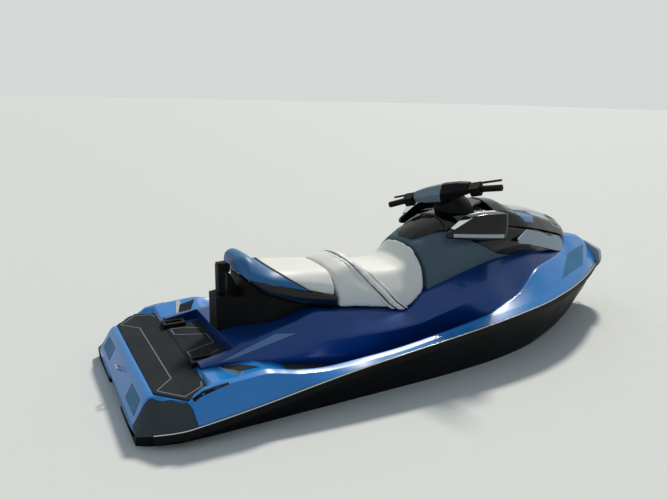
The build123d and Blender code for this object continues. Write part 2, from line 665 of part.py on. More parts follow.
arms = [rod((0, 0, 0), bar_end(side, BAR_HALF), BAR_R) for side in (1, -1)]
clamp = Box(58, 92, 44)
stem = rod((0, 0, -COLUMN_LOW + 6), (0, 0, -10), STEM_R)
stem += rod((0, 0, -COLUMN_HIGH + 6), (0, 0, -12), STEM_COLLAR_R)
handlebar = arms[0] + arms[1] + clamp + stem
grips = [rod(bar_end(side, BAR_HALF - GRIP_LONG), bar_end(side, BAR_HALF + 4), GRIP_R)
         - rod((0, 0, 0), bar_end(side, BAR_HALF + 0.1), BAR_R) for side in (1, -1)]
housings = [Pos(*bar_end(side, BAR_HALF - GRIP_LONG - HOUSING_WIDE / 2 - 4)) * Box(62, HOUSING_WIDE, 58)
            - rod((0, 0, 0), bar_end(side, BAR_HALF), BAR_R) for side in (1, -1)]
pad_sections = [(-PAD_HALF, 34, 22, 26), (-PAD_HALF * 0.6, 48, 32, 40), (0, 56, 36, 46),
                (PAD_HALF * 0.6, 48, 32, 40), (PAD_HALF, 34, 22, 26)]
pad = Solid.make_loft([Wire.make_polygon([Vector(x, y, z) for x, z in
                                          [(-deep, -low), (deep, -low), (deep, high * 0.4), (0, high),
                                           (-deep, high * 0.4)]], close=True)
                       for y, deep, low, high in pad_sections], ruled=True)
pad = biggest(pad - handlebar)
levers = []
for side in (1, -1):
    y0 = BAR_HALF - GRIP_LONG - HOUSING_WIDE + 6
    outline = [(6, side * y0), (6, side * (y0 + 16)), (30, side * (y0 + 44)), (26, side * (BAR_HALF - 12)),
               (38, side * (BAR_HALF - 8)), (44, side * (y0 + 40)), (24, side * (y0 - 2))]
    if side < 0:
        outline = outline[::-1]
    levers.append(Pos(0, 0, -12) * plan_prism(outline, -LEVER_THICK / 2, LEVER_THICK / 2))
levers = [lever - housings[0] - housings[1] for lever in levers]

# Platform and footwell mats
platform_slab = along([(x, [(0, z), (640, z), (640, z + MAT), (0, z + MAT)])
                       for x, z in [(90, PLATFORM[0].floor_z)] + [(r.x, r.floor_z) for r in PLATFORM]])
channel_mat = block((PLATFORM[-1].x, -channel_half, channel_floor),
                    (channel_fore, channel_half, channel_floor + MAT))
mat_plan = [(96, -430), (212, -556), (303, -496), (PLATFORM[-1].x, -470), (PLATFORM[-1].x, 470), (303, 496),
            (212, 556), (96, 430)]
bases = []
for side in (1, -1):
    base = block((-BASE_LONG / 2, -BASE_WIDE / 2, 190), (BASE_LONG / 2, BASE_WIDE / 2, BASE_TOP))
    base -= block((-BASE_LONG / 2 + 16, -14, BASE_TOP - 14), (BASE_LONG / 2 - 16, 14, BASE_TOP + 1))
    bases.append(Pos(BASE_X, side * BASE_Y, 0) * base - deck_full - body_form)
platform_mat = (platform_slab & plan_prism(mat_plan, 150, 300)) + channel_mat
platform_mat = biggest(platform_mat - body_form - ped_form - deck_full - bases[0] - bases[1])
foot_rows = [row for row in FOOTWELL if FOOT_MAT[0] <= row.x <= FOOT_MAT[1]]
foot_mat = one_side([(r.x, [(FOOT_MAT[2], r.floor_z), (r.foot_y - MAT_MARGIN, r.floor_z),
                            (r.foot_y - MAT_MARGIN, r.floor_z + MAT), (FOOT_MAT[2], r.floor_z + MAT)])
                     for r in foot_rows]) - body_form - deck_full


def u_bolt(middle, out, wide, wire, reach):
    """Bent wire eye: two legs that stand out of a face and the bar across them."""
    middle, out = Vector(*middle), Vector(*out).normalized()
    legs = []
    for side in (1, -1):
        foot = middle + Vector(0, side * wide / 2, 0)
        legs.append(rod(foot - out * 12, foot + out * reach, wire / 2))
    tips = [middle + out * reach + Vector(0, side * (wide / 2 + wire / 2), 0) for side in (1, -1)]
    return legs[0] + legs[1] + rod(tips[0], tips[1], wire / 2)


tow_eye = u_bolt((42, 0, 130), (-0.82, 0, 0.58), EYE_WIDE, EYE_WIRE, EYE_REACH) - deck_full
bow_eye = u_bolt((3300, 0, 100), (0.8, 0, -0.6), EYE_WIDE * 0.6, EYE_WIRE, EYE_REACH) - hull_form

bumper_form = along([(3300, [(0, 226), (96, 290), (138, 345), (112, 394), (50, 438), (0, 448)]),
                     (3380, [(0, 236), (62, 290), (86, 345), (68, 386), (30, 400), (0, 404)]),
                     (3425, [(0, 250), (36, 296), (54, 342), (44, 374), (18, 382), (0, 384)]),
                     (HULL[-1].x + BUMPER_DEEP,
                      [(0, 282), (18, 306), (30, 340), (22, 360), (10, 364), (0, 365)])])
side_forms = topside_port + mirrored(topside_port)
bow_bumper = biggest(bumper_form - hull_form - side_forms - deck_form - rail_port - mirrored(rail_port))

sponson_form = one_side([(x, [(500, -84), (548, -80), (582, -30), (560, -8), (500, -20)])
                         for x in (330, 1120)])
sponson = biggest(sponson_form - hull_form)


# Jet pump
def cone_x(x0, r0, x1, r1):
    """Cone along the pump's axis from x0 forward to x1."""
    plane = Plane(origin=(x0, 0, PUMP_Z), z_dir=(1, 0, 0))
    return Solid.make_cone(r0, r1, x1 - x0, plane)


def bore_x(x0, x1, radius):
    return rod((x0, 0, PUMP_Z), (x1, 0, PUMP_Z), radius)


venturi_aft = PIVOT_X - 5
pump_out = bore_x(PUMP_AFT, TUNNEL_FORE, PUMP_R)
pump_out += cone_x(VENTURI_FORE, VENTURI_R, PUMP_AFT, PUMP_R) + bore_x(venturi_aft, VENTURI_FORE, VENTURI_R)
pump_in = bore_x(PUMP_AFT + 20, TUNNEL_FORE + 1, PUMP_BORE)
pump_in += bore_x(venturi_aft - 1, VENTURI_FORE + 10, VENTURI_R - PUMP_WALL)
pump_in += cone_x(VENTURI_FORE + 9, VENTURI_R - PUMP_WALL, PUMP_AFT + 21, PUMP_BORE)
ear_port = block((PIVOT_X - EAR_WIDE / 2, EAR_Y, PUMP_Z - EAR_WIDE / 2),
                 (PUMP_AFT + 40, EAR_Y + EAR_THICK, PUMP_Z + EAR_WIDE / 2))
pin_hole = rod((PIVOT_X, -EAR_Y - 40, PUMP_Z), (PIVOT_X, EAR_Y + 40, PUMP_Z), PIN_R + PIN_GAP)
impeller_aft = IMPELLER_X - IMPELLER_LONG / 2
stator_hub = bore_x(PUMP_AFT - 10, impeller_aft - RUN_GAP, HUB_R)
tail_pin = (PUMP_AFT + 20, impeller_aft)
vanes = [Pos(0, 0, PUMP_Z) * (Rot(45 + 90 * k, 0, 0) * block(
    (PUMP_AFT + 2, -2.5, 0), (impeller_aft - RUN_GAP - 2, 2.5, PUMP_BORE + 4))) for k in range(4)]
jet_pump = pump_out + ear_port + mirrored(ear_port) - pump_in - pin_hole
jet_pump = jet_pump + stator_hub
for vane in vanes:
    jet_pump = jet_pump + (vane & (pump_in + bore_x(PUMP_AFT, TUNNEL_FORE, PUMP_R - 4)))
jet_pump -= bore_x(tail_pin[0] - 1, tail_pin[1], TAIL_PIN_R + PIN_GAP)

impeller = bore_x(impeller_aft, IMPELLER_X + IMPELLER_LONG / 2, HUB_R)
for k in range(BLADES):
    blade = Pos(IMPELLER_X, 0, 0) * (Rot(0, 0, BLADE_PITCH) * block(
        (-IMPELLER_LONG / 2 + 4, -1.8, HUB_R - 4), (IMPELLER_LONG / 2 - 4, 1.8, IMPELLER_R - 1.5)))
    impeller += Pos(0, 0, PUMP_Z) * (Rot(360 / BLADES * k, 0, 0) * blade)
impeller += bore_x(IMPELLER_X, eng_aft - g - 1, SHAFT_R)
impeller += bore_x(tail_pin[0], tail_pin[1] + 5, TAIL_PIN_R)

ring = bore_x(PIVOT_X - RING_LONG / 2, PIVOT_X + RING_LONG / 2, RING_R + RING_WALL)
ring -= bore_x(PIVOT_X - RING_LONG / 2 - 1, PIVOT_X + RING_LONG / 2 + 1, RING_R)
pin_end = EAR_Y + EAR_THICK / 2 - 0.5
for side in (1, -1):
    ring += rod((PIVOT_X, side * (RING_R + 3), PUMP_Z), (PIVOT_X, side * pin_end, PUMP_Z), PIN_R)
ring -= rod((PIVOT_X, 0, PUMP_Z - 200), (PIVOT_X, 0, PUMP_Z + 200), PIN_R + PIN_GAP)

front_x = PIVOT_X + 8
back_x = PIVOT_X - NOZZLE_LONG
nozzle = cone_x(back_x + 18, NOZZLE_BACK_R + NOZZLE_WALL, front_x, NOZZLE_FRONT_R + NOZZLE_WALL)
nozzle += bore_x(back_x, back_x + 18, NOZZLE_BACK_R + NOZZLE_WALL)
for side in (1, -1):
    nozzle += rod((PIVOT_X, 0, PUMP_Z + side * (NOZZLE_FRONT_R - 3)),
                  (PIVOT_X, 0, PUMP_Z + side * (RING_R + RING_WALL - 1)), PIN_R)
nozzle -= cone_x(back_x + 17.9, NOZZLE_BACK_R, front_x + 0.1, NOZZLE_FRONT_R)
nozzle -= bore_x(back_x - 1, back_x + 18, NOZZLE_BACK_R)
nozzle = nozzle.rotate(Axis((PIVOT_X, 0, PUMP_Z), (0, 0, 1)), -STEER_REST * STEER_RATIO)


def arc_point(radius, angle):
    """Point of the bucket at an angle above straight aft, seen from the side."""
    return (PIVOT_X - radius * cos(radians(angle)), PUMP_Z + radius * sin(radians(angle)))


steps = 8
angles = [BUCKET_UP_LOW + (BUCKET_UP_HIGH - BUCKET_UP_LOW) * k / steps for k in range(steps + 1)]
shell_out = [arc_point(BUCKET_R + BUCKET_WALL, a) for a in angles]
shell_line = [arc_point(BUCKET_R, a) for a in angles] + shell_out[::-1]
bucket = side_prism(shell_line, BUCKET_HALF)
cheek = shell_out + [arc_point(12, BUCKET_UP_HIGH + 60), arc_point(14, BUCKET_UP_LOW - 90)]
for side in (1, -1):
    bucket += side_prism(cheek, BUCKET_WALL / 2, side * (BUCKET_HALF - BUCKET_WALL / 2))
    bucket += rod((PIVOT_X, side * (BUCKET_HALF - 1), PUMP_Z),
                  (PIVOT_X, side * (pin_end + 1), PUMP_Z), PIN_R)

v_slope = (HULL[2].chine_z - HULL[2].keel_z) / HULL[2].chine_y
plate_edge = HULL[2].keel_z + v_slope * TUNNEL_HALF
plate_half = [(0, HULL[2].keel_z), (TUNNEL_HALF, plate_edge),
              (TUNNEL_HALF, plate_edge + PLATE_THICK), (0, HULL[2].keel_z + PLATE_THICK)]
ride_plate = along([(x, plate_half) for x in (PLATE_AFT, TUNNEL_FORE)])
grate = block((DUCT_AFT, -DUCT_HALF, GRATE_LOW), (DUCT_AFT + 12, DUCT_HALF, GRATE_LOW + 20))
grate += block((GRATE_FORE - 12, -DUCT_HALF, GRATE_LOW), (GRATE_FORE, DUCT_HALF, GRATE_LOW + 20))
for k in range(GRATE_BARS):
    y = -DUCT_HALF + 2 * DUCT_HALF * (k + 1) / (GRATE_BARS + 1)
    grate += block((DUCT_AFT, y - 4, GRATE_LOW), (GRATE_FORE, y + 4, GRATE_LOW + 20))

put("hull", hull)
put("hull_quarter_port", quarter_port)
put("hull_quarter_starboard", mirrored(quarter_port))
put("topside_port", topside_port)
put("topside_starboard", mirrored(topside_port))
put("deck", deck)
put("gunwale_port", gunwale_port)
put("gunwale_starboard", mirrored(gunwale_port))
put("stern_cap_port", caps[0])
put("stern_cap_starboard", caps[1])
put("rub_rail", rail_port, mirrored(rail_port))
put("bow_bumper", bow_bumper)
put("engine_block", engine_block)
put("centre_body", centre_body)
put("centre_body_fore", centre_body_fore)
put("console", console)
put("fairing", fairing)
put("front_bin", front_bin)
put("pedestal", pedestal)
put("pylon", pylon)
put("seat_shell", seat_shell)
put("seat_band", seat_band)
put("rear_seat", rear_seat)
put("driver_seat", driver_seat)
put("seat_bolster", seat_bolster)
put("hood", hood)
put("front_panel_port", panel_port)
put("front_panel_starboard", mirrored(panel_port))
put("mirror_pod_port", pod_port)
put("mirror_pod_starboard", mirrored(pod_port))
put("mirror_glass", glass_port, mirrored(glass_port))
put("instrument_cowl", cowl)
put("display", display)
put("glovebox_lid", glovebox_lid)
put("steering_column", column)
put("handlebar", steered(handlebar))
put("handlebar_pad", steered(pad))
put("grips", *[steered(grip) for grip in grips])
put("switch_housings", *[steered(housing) for housing in housings])
put("levers", *[steered(lever) for lever in levers])
put("platform_mat", platform_mat)
put("footwell_mats", foot_mat, mirrored(foot_mat))
put("accessory_bases", *bases)
put("tow_eye", tow_eye)
put("bow_eye", bow_eye)
put("sponsons", sponson, mirrored(sponson))
put("jet_pump", jet_pump)
put("impeller", impeller)
put("trim_ring", ring)
put("steering_nozzle", nozzle)
put("reverse_bucket", bucket)
put("ride_plate", ride_plate)
put("intake_grate", grate)
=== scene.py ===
# %% [markdown]
# # A personal watercraft, dressed for its picture
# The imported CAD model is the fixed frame: it says where things are and how they move.
# This lesson builds the moulded, painted, sewn and cast surfaces round it, one piece after another.

import json
from math import cos, radians, sin

import bmesh
import bpy
import numpy as np
from mathutils import Matrix, Vector


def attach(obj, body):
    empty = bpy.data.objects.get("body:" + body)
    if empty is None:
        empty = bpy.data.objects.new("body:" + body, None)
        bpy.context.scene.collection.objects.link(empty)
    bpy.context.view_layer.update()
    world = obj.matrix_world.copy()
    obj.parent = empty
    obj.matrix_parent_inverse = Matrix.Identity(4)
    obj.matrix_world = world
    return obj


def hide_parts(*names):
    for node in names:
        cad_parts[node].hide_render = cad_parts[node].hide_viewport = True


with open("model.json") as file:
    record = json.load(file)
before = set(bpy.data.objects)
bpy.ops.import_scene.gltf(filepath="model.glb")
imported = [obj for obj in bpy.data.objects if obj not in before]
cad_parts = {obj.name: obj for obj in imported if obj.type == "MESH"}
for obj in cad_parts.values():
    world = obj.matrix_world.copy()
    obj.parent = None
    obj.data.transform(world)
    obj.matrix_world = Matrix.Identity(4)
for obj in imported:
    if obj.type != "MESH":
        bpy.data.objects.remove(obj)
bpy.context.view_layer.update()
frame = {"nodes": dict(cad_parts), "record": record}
bodies = frame["record"]["behaviour"]["bodies"]

# %% [markdown]
# ## Units
# Builders of boats measure stations forward from the stern in millimetres. Blender wants metres, and the
# frame has its origin amidships. The tables below keep the builder's habit, because they are easy to check
# against the craft, and one function turns them into metres.

# %% Stations to metres
LENGTH = 3450.0
MM = 0.001
# Axes of the frame: to the bow, to port, and up
FORWARD, ACROSS, UPRIGHT = 0, 1, 2


def metres(points):
    """Points (x from the stern, y to port, z up) in millimetres become metres from amidships."""
    return (np.asarray(points, float) - (LENGTH / 2, 0, 0)) * MM


def placed(name, data):
    """A new object at the origin that holds a mesh, a lamp or a camera."""
    thing = bpy.data.objects.new(name, data)
    bpy.context.scene.collection.objects.link(thing)
    return thing


print("stern and bow at", metres([(0, 0, 0), (LENGTH, 0, 0)])[:, FORWARD], "m")

# %% [markdown]
# ## Camera
# The picture was taken from a little above the seats, off the starboard quarter. A camera can be set by
# eye, or fitted: here its place, turn and lens were fitted to corners of the craft that show clearly,
# because then every other piece can be checked against the picture to a pixel or two.

# %% Camera
PHOTO_WIDE, FOCAL_PX, SENSOR_MM = 667, 594.04, 36
EYE = (-2.1018, -2.7849, 1.4334)
# Turn from the bow towards port, tilt down, and roll
YAW, PITCH, ROLL = radians(60.493), radians(14.529), radians(1.436)

camera = bpy.data.cameras.new("camera")
camera.sensor_width = SENSOR_MM
camera.lens = FOCAL_PX * SENSOR_MM / PHOTO_WIDE
eye = placed("camera", camera)
look = Vector((cos(PITCH) * cos(YAW), cos(PITCH) * sin(YAW), -sin(PITCH)))
level = Vector((sin(YAW), -cos(YAW), 0))
lift = level.cross(look)
right = cos(ROLL) * level + sin(ROLL) * lift
up = -sin(ROLL) * level + cos(ROLL) * lift
eye.matrix_world = Matrix.Translation(EYE) @ Matrix((right, up, -look)).transposed().to_4x4()
bpy.context.scene.camera = eye
bpy.context.scene.view_settings.view_transform = "Standard"
print(f"lens {camera.lens:.1f} mm, {Vector(EYE).length:.2f} m from amidships")

# %% [markdown]
# ## Light
# In the picture the sun stands high off the port bow, lights the deck and leaves the near side in shade.
# Area lamps or a sky texture could do that; one soft sun and an even pale sky are plain studio light, so
# that a colour renders about as it is written. The camera, gloss and glass see a paler sky than the one
# that lights the craft.

# %% Colour
def linear(code):
    """An sRGB hex colour as linear red, green and blue, with full alpha.

    A value up to 0.04045 is divided by 12.92. A higher one has 0.055 added, is divided by 1.055 and is then
    raised to the power 2.4.
    """
    values = np.array([int(code[i:i + 2], 16) for i in (1, 3, 5)]) / 255
    curve = np.where(values <= 0.04045, values / 12.92, ((values + 0.055) / 1.055) ** 2.4)
    return (*curve.tolist(), 1.0)


def add(tree, kind, settings=(), links=()):
    """A new shader node: settings are (socket or attribute, value), links are (socket, source socket)."""
    node = tree.nodes.new(kind)
    for name, value in settings:
        if isinstance(name, str) and hasattr(node, name):
            setattr(node, name, value)
        else:
            node.inputs[name].default_value = value
    for name, source in links:
        tree.links.new(source, node.inputs[name])
    return node


print("half grey is", round(linear("#808080")[0], 3), "in linear light")

# %% Sky
SKY_STRENGTH = 0.46
world = bpy.data.worlds.new("pale sky")
bpy.context.scene.world = world
world.use_nodes = True
sky = world.node_tree
sky.nodes.clear()
path = add(sky, "ShaderNodeLightPath")
light = add(sky, "ShaderNodeBackground", [("Color", linear("#dbe6ef")), ("Strength", SKY_STRENGTH)])
backdrop = add(sky, "ShaderNodeBackground", [("Color", linear("#d4d9d8")), ("Strength", 1.0)])
seen = path.outputs["Is Camera Ray"]
for ray in ("Is Glossy Ray", "Is Transmission Ray"):
    either = add(sky, "ShaderNodeMath", [("operation", "MAXIMUM")], [(0, seen), (1, path.outputs[ray])])
    seen = either.outputs[0]
mixed = add(sky, "ShaderNodeMixShader", (), [(0, seen), (1, light.outputs[0]), (2, backdrop.outputs[0])])
add(sky, "ShaderNodeOutputWorld", (), [("Surface", mixed.outputs[0])])
print("sky strength", SKY_STRENGTH)

# %% Sun
SUN_TURN, SUN_HIGH, SUN_WIDE = radians(42), radians(46), radians(7)
SUN_POWER = 2.9
lamp = bpy.data.lights.new("sun", "SUN")
lamp.energy, lamp.angle = SUN_POWER, SUN_WIDE
lamp.color = linear("#fff6e8")[:3]
sun = placed("sun", lamp)
toward = Vector((cos(SUN_HIGH) * cos(SUN_TURN), cos(SUN_HIGH) * sin(SUN_TURN), sin(SUN_HIGH)))
sun.matrix_world = toward.to_track_quat("Z", "Y").to_matrix().to_4x4()
print("sun towards", [round(part, 2) for part in toward])

# %% [markdown]
# ## Shapes from tables
# A boat builder draws a moulding as cross sections at stations, with battens bent through them. It could be
# sculpted or pushed out of a box; sections in a table keep its true sizes in one place. Each section is a
# ring of corner points, each corner is rounded, and every point flows smoothly from station to station.

# %% Flow between stations
def flow(knots, values, x):
    """Smooth curve through a table, without overshoot.

    Between two knots it is the cubic with the slopes of both ends. A knot's slope is the harmonic mean of
    the slopes on its two sides, or zero where they differ in sign.
    """
    knots, values, x = (np.asarray(given, float) for given in (knots, values, x))
    rest = (1,) * (values.ndim - 1)
    step = np.diff(knots).reshape(-1, *rest)
    rise = np.diff(values, axis=0) / step
    before, after = rise[:-1], rise[1:]
    same = before * after > 0
    mean = 2 * before * after / np.where(same, before + after, 1)
    slope = np.concatenate([rise[:1], np.where(same, mean, 0), rise[-1:]])
    i = np.clip(np.searchsorted(knots, x, side="right") - 1, 0, len(knots) - 2)
    h = step[i]
    t = np.clip((x - knots[i]).reshape(-1, *rest) / h, 0, 1)
    return ((1 + 2 * t) * (1 - t) ** 2 * values[i] + t * (1 - t) ** 2 * h * slope[i]
            + t ** 2 * (3 - 2 * t) * values[i + 1] + t ** 2 * (t - 1) * h * slope[i + 1])


# A corner's curve takes at most this share of a side, so that two curves never meet
CORNER_SHARE = 0.48
# Keeps a division by a length of nothing from failing
TINY = 1e-9


def rounded(points, radius, steps=4):
    """A closed ring of corner points, each corner replaced by a curve.

    Corner P turns into a piece of a parabola, from A, which lies towards the neighbour before, to B, which
    lies towards the neighbour after, both a radius away from P. At a share s of the way it is the mean of A,
    P and B, weighted by the square of one less s, by twice s times one less s, and by the square of s.
    """
    points = np.asarray(points, float)
    radius = np.broadcast_to(np.asarray(radius, float), points.shape[-2])[:, None]
    to_before = np.roll(points, 1, axis=-2) - points
    to_after = np.roll(points, -1, axis=-2) - points
    size_before = np.linalg.norm(to_before, axis=-1, keepdims=True) + TINY
    size_after = np.linalg.norm(to_after, axis=-1, keepdims=True) + TINY
    start = points + to_before * np.minimum(radius / size_before, CORNER_SHARE)
    end = points + to_after * np.minimum(radius / size_after, CORNER_SHARE)
    s = np.linspace(0, 1, steps + 1)[:, None]
    arcs = ((1 - s) ** 2 * start[..., None, :] + 2 * s * (1 - s) * points[..., None, :]
            + s ** 2 * end[..., None, :])
    return arcs.reshape(*points.shape[:-2], -1, points.shape[-1])


print("a square with rounded corners has", len(rounded([(0, 0), (9, 0), (9, 9), (0, 9)], 2)), "points")

# %% Grids to meshes
# Points nearer than this are one point, and an edge that turns by more than this stays crisp
SAME_POINT, CRISP = 0.01 * MM, radians(32)
NO_LENGTH = 0.001 * MM


def mesh_object(name, vertices, faces):
    """A mesh object at the origin from arrays."""
    mesh = bpy.data.meshes.new(name)
    mesh.from_pydata(vertices.tolist(), [], faces)
    return tidy(placed(name, mesh))


def shaded(piece):
    """Shades a piece smooth but for its crisp edges."""
    piece.data.shade_smooth()
    piece.data.set_sharp_from_angle(angle=CRISP)
    return piece


def tidy(piece):
    """Merges doubles, turns the faces outwards and shades the piece."""
    edit = bmesh.new()
    edit.from_mesh(piece.data)
    bmesh.ops.remove_doubles(edit, verts=edit.verts, dist=SAME_POINT)
    bmesh.ops.dissolve_degenerate(edit, edges=edit.edges, dist=NO_LENGTH)
    bmesh.ops.recalc_face_normals(edit, faces=edit.faces)
    edit.to_mesh(piece.data)
    edit.free()
    return shaded(piece)


print(f"points nearer than {SAME_POINT / MM:.2f} mm become one")


# %% Rings to closed mouldings
def turned_edge(ring, way, radius):
    """Last rings of a moulding whose edge turns inwards over a quarter circle, the outermost first.

    At an angle from the end face, a ring is drawn in by radius times one less the sine, at most nine tenths
    of the way to its middle, and stands back from the end by radius times one less the cosine.
    """
    middle = ring.mean(0)
    arm = ring - middle
    size = np.linalg.norm(arm, axis=1, keepdims=True) + TINY
    rings = []
    for angle in np.radians([0, 30, 60]):
        turned = middle + arm * (1 - np.minimum(radius * (1 - sin(angle)) / size, 0.9))
        turned[:, 0] = ring[0, 0] + way * radius * (1 - cos(angle))
        rings.append(turned)
    return rings


def loft(name, x, rings, ends=0.0):
    """Closed moulding through rings of (y, z) at stations x, in millimetres.

    Each point is joined to its neighbour and to the same two points of the next ring, and a fan round its
    middle closes the first ring and the last. With a radius for the ends their edges turn inwards, and take
    the place of the rings that lie nearer to an end than the radius.
    """
    x, rings = np.asarray(x, float), np.asarray(rings, float)
    grid = np.concatenate([np.broadcast_to(x[:, None, None], (*rings.shape[:2], 1)), rings], -1)
    if ends > 0:
        aft, fore = turned_edge(grid[0], 1, ends), turned_edge(grid[-1], -1, ends)
        grid = np.concatenate([aft, grid[(x > x[0] + ends) & (x < x[-1] - ends)], fore[::-1]])
    rows, columns = grid.shape[:2]
    vertices = np.concatenate([grid.reshape(-1, 3), grid[0].mean(0)[None], grid[-1].mean(0)[None]])
    i, j = np.meshgrid(np.arange(rows - 1), np.arange(columns), indexing="ij")
    k = (j + 1) % columns
    sides = np.stack([i * columns + j, i * columns + k, (i + 1) * columns + k, (i + 1) * columns + j], -1)
    j, base = np.arange(columns), (rows - 1) * columns
    k = (j + 1) % columns
    faces = (sides.reshape(-1, 4).tolist() + np.stack([k, j, np.full(columns, rows * columns)], -1).tolist()
             + np.stack([base + j, base + k, np.full(columns, rows * columns + 1)], -1).tolist())
    return mesh_object(name, metres(vertices), faces)


print("a turned edge takes", len(turned_edge(np.eye(3), 1, 0.1)), "rings")


# %% Tables to half sections and whole rings
def both_sides(half):
    """Half sections from the bottom middle to the top middle, on port, become closed rings."""
    half = np.asarray(half, float)
    return np.concatenate([half, half[..., -2:0:-1, :] * (-1, 1)], -2)


def ring_radii(half):
    """Corner radii of a half section, from bottom middle to top middle, for its whole ring."""
    return [*half, *half[-2:0:-1]]


def moulding(name, x, half, radii, ends=0.0):
    """A loft through half sections at stations x, with the corner radii of the half section."""
    return loft(name, x, rounded(both_sides(half), ring_radii(radii)), ends)


def from_table(table, step=14.0):
    """Even stations over a table's length, with every knot among them, and its smooth columns there."""
    knots = np.array([row[0] for row in table], float)
    even = np.linspace(knots[0], knots[-1], int((knots[-1] - knots[0]) / step) + 2)
    x = np.unique(np.round(np.concatenate([knots, even]), 1))
    return x, flow(knots, [row[1:] for row in table], x).T


def pairs(*values):
    """Columns y, z, y, z ... as half sections: one row a station, one (y, z) a corner."""
    size = max(np.size(value) for value in values)
    columns = [np.broadcast_to(np.asarray(value, float), size) for value in values]
    return np.stack([np.stack(columns[i:i + 2], -1) for i in range(0, len(columns), 2)], 1)


print("a half section of 5 corners makes a ring of", len(both_sides(np.zeros((5, 2)))))

# %% [markdown]
# ## Cutting and joining
# A builder cuts openings out of a moulding after it leaves the tool, with a saw and a template. Here the
# template is a prism and the saw a Boolean modifier that is applied at once. The manifold solver does it,
# because the exact one left some of these closed lofts empty. Thin panels are thrown onto a moulding.

# %% Cutting and joining
def settle(piece):
    """Applies a piece's modifiers to its mesh."""
    bpy.context.view_layer.update()
    graph = bpy.context.evaluated_depsgraph_get()
    old, piece.data = piece.data, bpy.data.meshes.new_from_object(piece.evaluated_get(graph))
    piece.modifiers.clear()
    bpy.data.meshes.remove(old)
    return tidy(piece)


def carved(piece, cutter, operation="DIFFERENCE"):
    """Cuts one closed mesh with another for good, and removes the cutter."""
    cut = piece.modifiers.new("cut", "BOOLEAN")
    cut.operation, cut.object, cut.solver = operation, cutter, "MANIFOLD"
    settle(piece)
    if not piece.data.polygons:
        raise ValueError(f"{piece.name}: nothing left after {operation}")
    bpy.data.objects.remove(cutter)
    return piece


# %% Copies, mirror images and joins
def copy_of(piece, name):
    """A second piece with its own mesh."""
    return placed(name, piece.data.copy())


def mirrored_copy(piece, name):
    """The same piece on the other side of the craft."""
    twin = copy_of(piece, name)
    twin.data.transform(Matrix.Diagonal((1, -1, 1, 1)))
    return tidy(twin)


def joined(name, *parts):
    """Several loose meshes as one piece."""
    edit = bmesh.new()
    for part in parts:
        edit.from_mesh(part.data)
    mesh = bpy.data.meshes.new(name)
    edit.to_mesh(mesh)
    edit.free()
    whole = placed(name, mesh)
    for part in parts:
        bpy.data.objects.remove(part)
    return tidy(whole)


# %% Prisms and thrown panels
def prism(outline, axis, low, high):
    """Closed prism over an outline of two coordinates, in millimetres, along one axis of the frame."""
    outline = np.asarray(outline, float)
    walls = [np.insert(outline, axis, level, axis=1) for level in (low, high)]
    n = len(outline)
    sides = [(i, (i + 1) % n, n + (i + 1) % n, n + i) for i in range(n)]
    faces = sides + [tuple(range(n))[::-1], tuple(range(n, 2 * n))]
    return mesh_object("cutter", metres(np.concatenate(walls)), faces)


# A thrown point starts this far off the moulding, in metres, and looks this far for it
STAND_OFF, REACH = 0.12, 0.3


def patch(base, name, corners, toward, cells, proud, sink=1.5):
    """A thin panel let into a moulding.

    A grid over four corners, in millimetres, each point their mean weighted by u and v, is thrown along a
    direction onto the moulding, one point at a time as Blender's ray cast needs. The points are raised by
    proud along the moulding's normals, and the panel's underside lies sink below the surface.
    """
    bpy.context.view_layer.update()
    corners, toward = np.asarray(corners, float), Vector(toward).normalized()
    u, v = (np.linspace(0, 1, count + 1) for count in cells)
    u, v = np.meshgrid(u, v, indexing="ij")
    u, v = u[..., None], v[..., None]
    grid = ((1 - u) * (1 - v) * corners[0] + u * (1 - v) * corners[1] + u * v * corners[2]
            + (1 - u) * v * corners[3])
    top, foot = [], []
    for point in metres(grid.reshape(-1, 3)):
        hit, place, normal, _ = base.ray_cast(Vector(point) - toward * STAND_OFF, toward, distance=REACH)
        if not hit:
            raise ValueError(f"{name}: no surface under {np.round(point, 3).tolist()}")
        top.append(place + normal * proud * MM)
        foot.append(place - normal * sink * MM)
    rows, columns = cells[0] + 1, cells[1] + 1
    count = rows * columns
    number = np.arange(count).reshape(rows, columns)
    face = np.stack([number[:-1, :-1], number[:-1, 1:], number[1:, 1:], number[1:, :-1]], -1).reshape(-1, 4)
    rim = [*number[:, 0], *number[-1, 1:], *number[-2::-1, -1], *number[0, -2:0:-1]]
    walls = [(a, b, b + count, a + count) for a, b in zip(rim, rim[1:] + rim[:1])]
    faces = face.tolist() + (face[:, ::-1] + count).tolist() + np.array(walls).tolist()
    return mesh_object(name, np.array(top + foot), faces)


def bevel_edges(piece, width, segments=2):
    """Rounds the sharp edges of a piece, by a width in millimetres, with a live bevel."""
    bevel = piece.modifiers.new("rounded edges", "BEVEL")
    bevel.width, bevel.segments = width * MM, segments
    bevel.limit_method, bevel.angle_limit = "ANGLE", radians(30)
    bevel.harden_normals = True
    return piece


print(f"a panel's point is thrown from {STAND_OFF} m off its moulding")

# %% [markdown]
# ## Dressing
# Every piece gets a finish, rides on a body of the frame and may stand for plain CAD nodes. Done by hand for
# each piece that would invite a slip, so one function does all of it and prints what it did.

# %% Dressing
def dress(piece, material, body="craft", replaces=()):
    """Gives a piece its finish, the body it rides on and the CAD nodes it stands for, and says so."""
    piece.data.materials.clear()
    piece.data.materials.append(material)
    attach(piece, body)
    if replaces:
        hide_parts(*replaces)
    print(f"{piece.name}: {material.name}, {len(piece.data.polygons)} faces, on {body}")
    return piece


def body_of(node):
    """Body that carries a CAD node."""
    return next((body for body, members in bodies.items() if node in members), "craft")


# Faces that meet at less than this are one flat face
FLAT = radians(1.5)


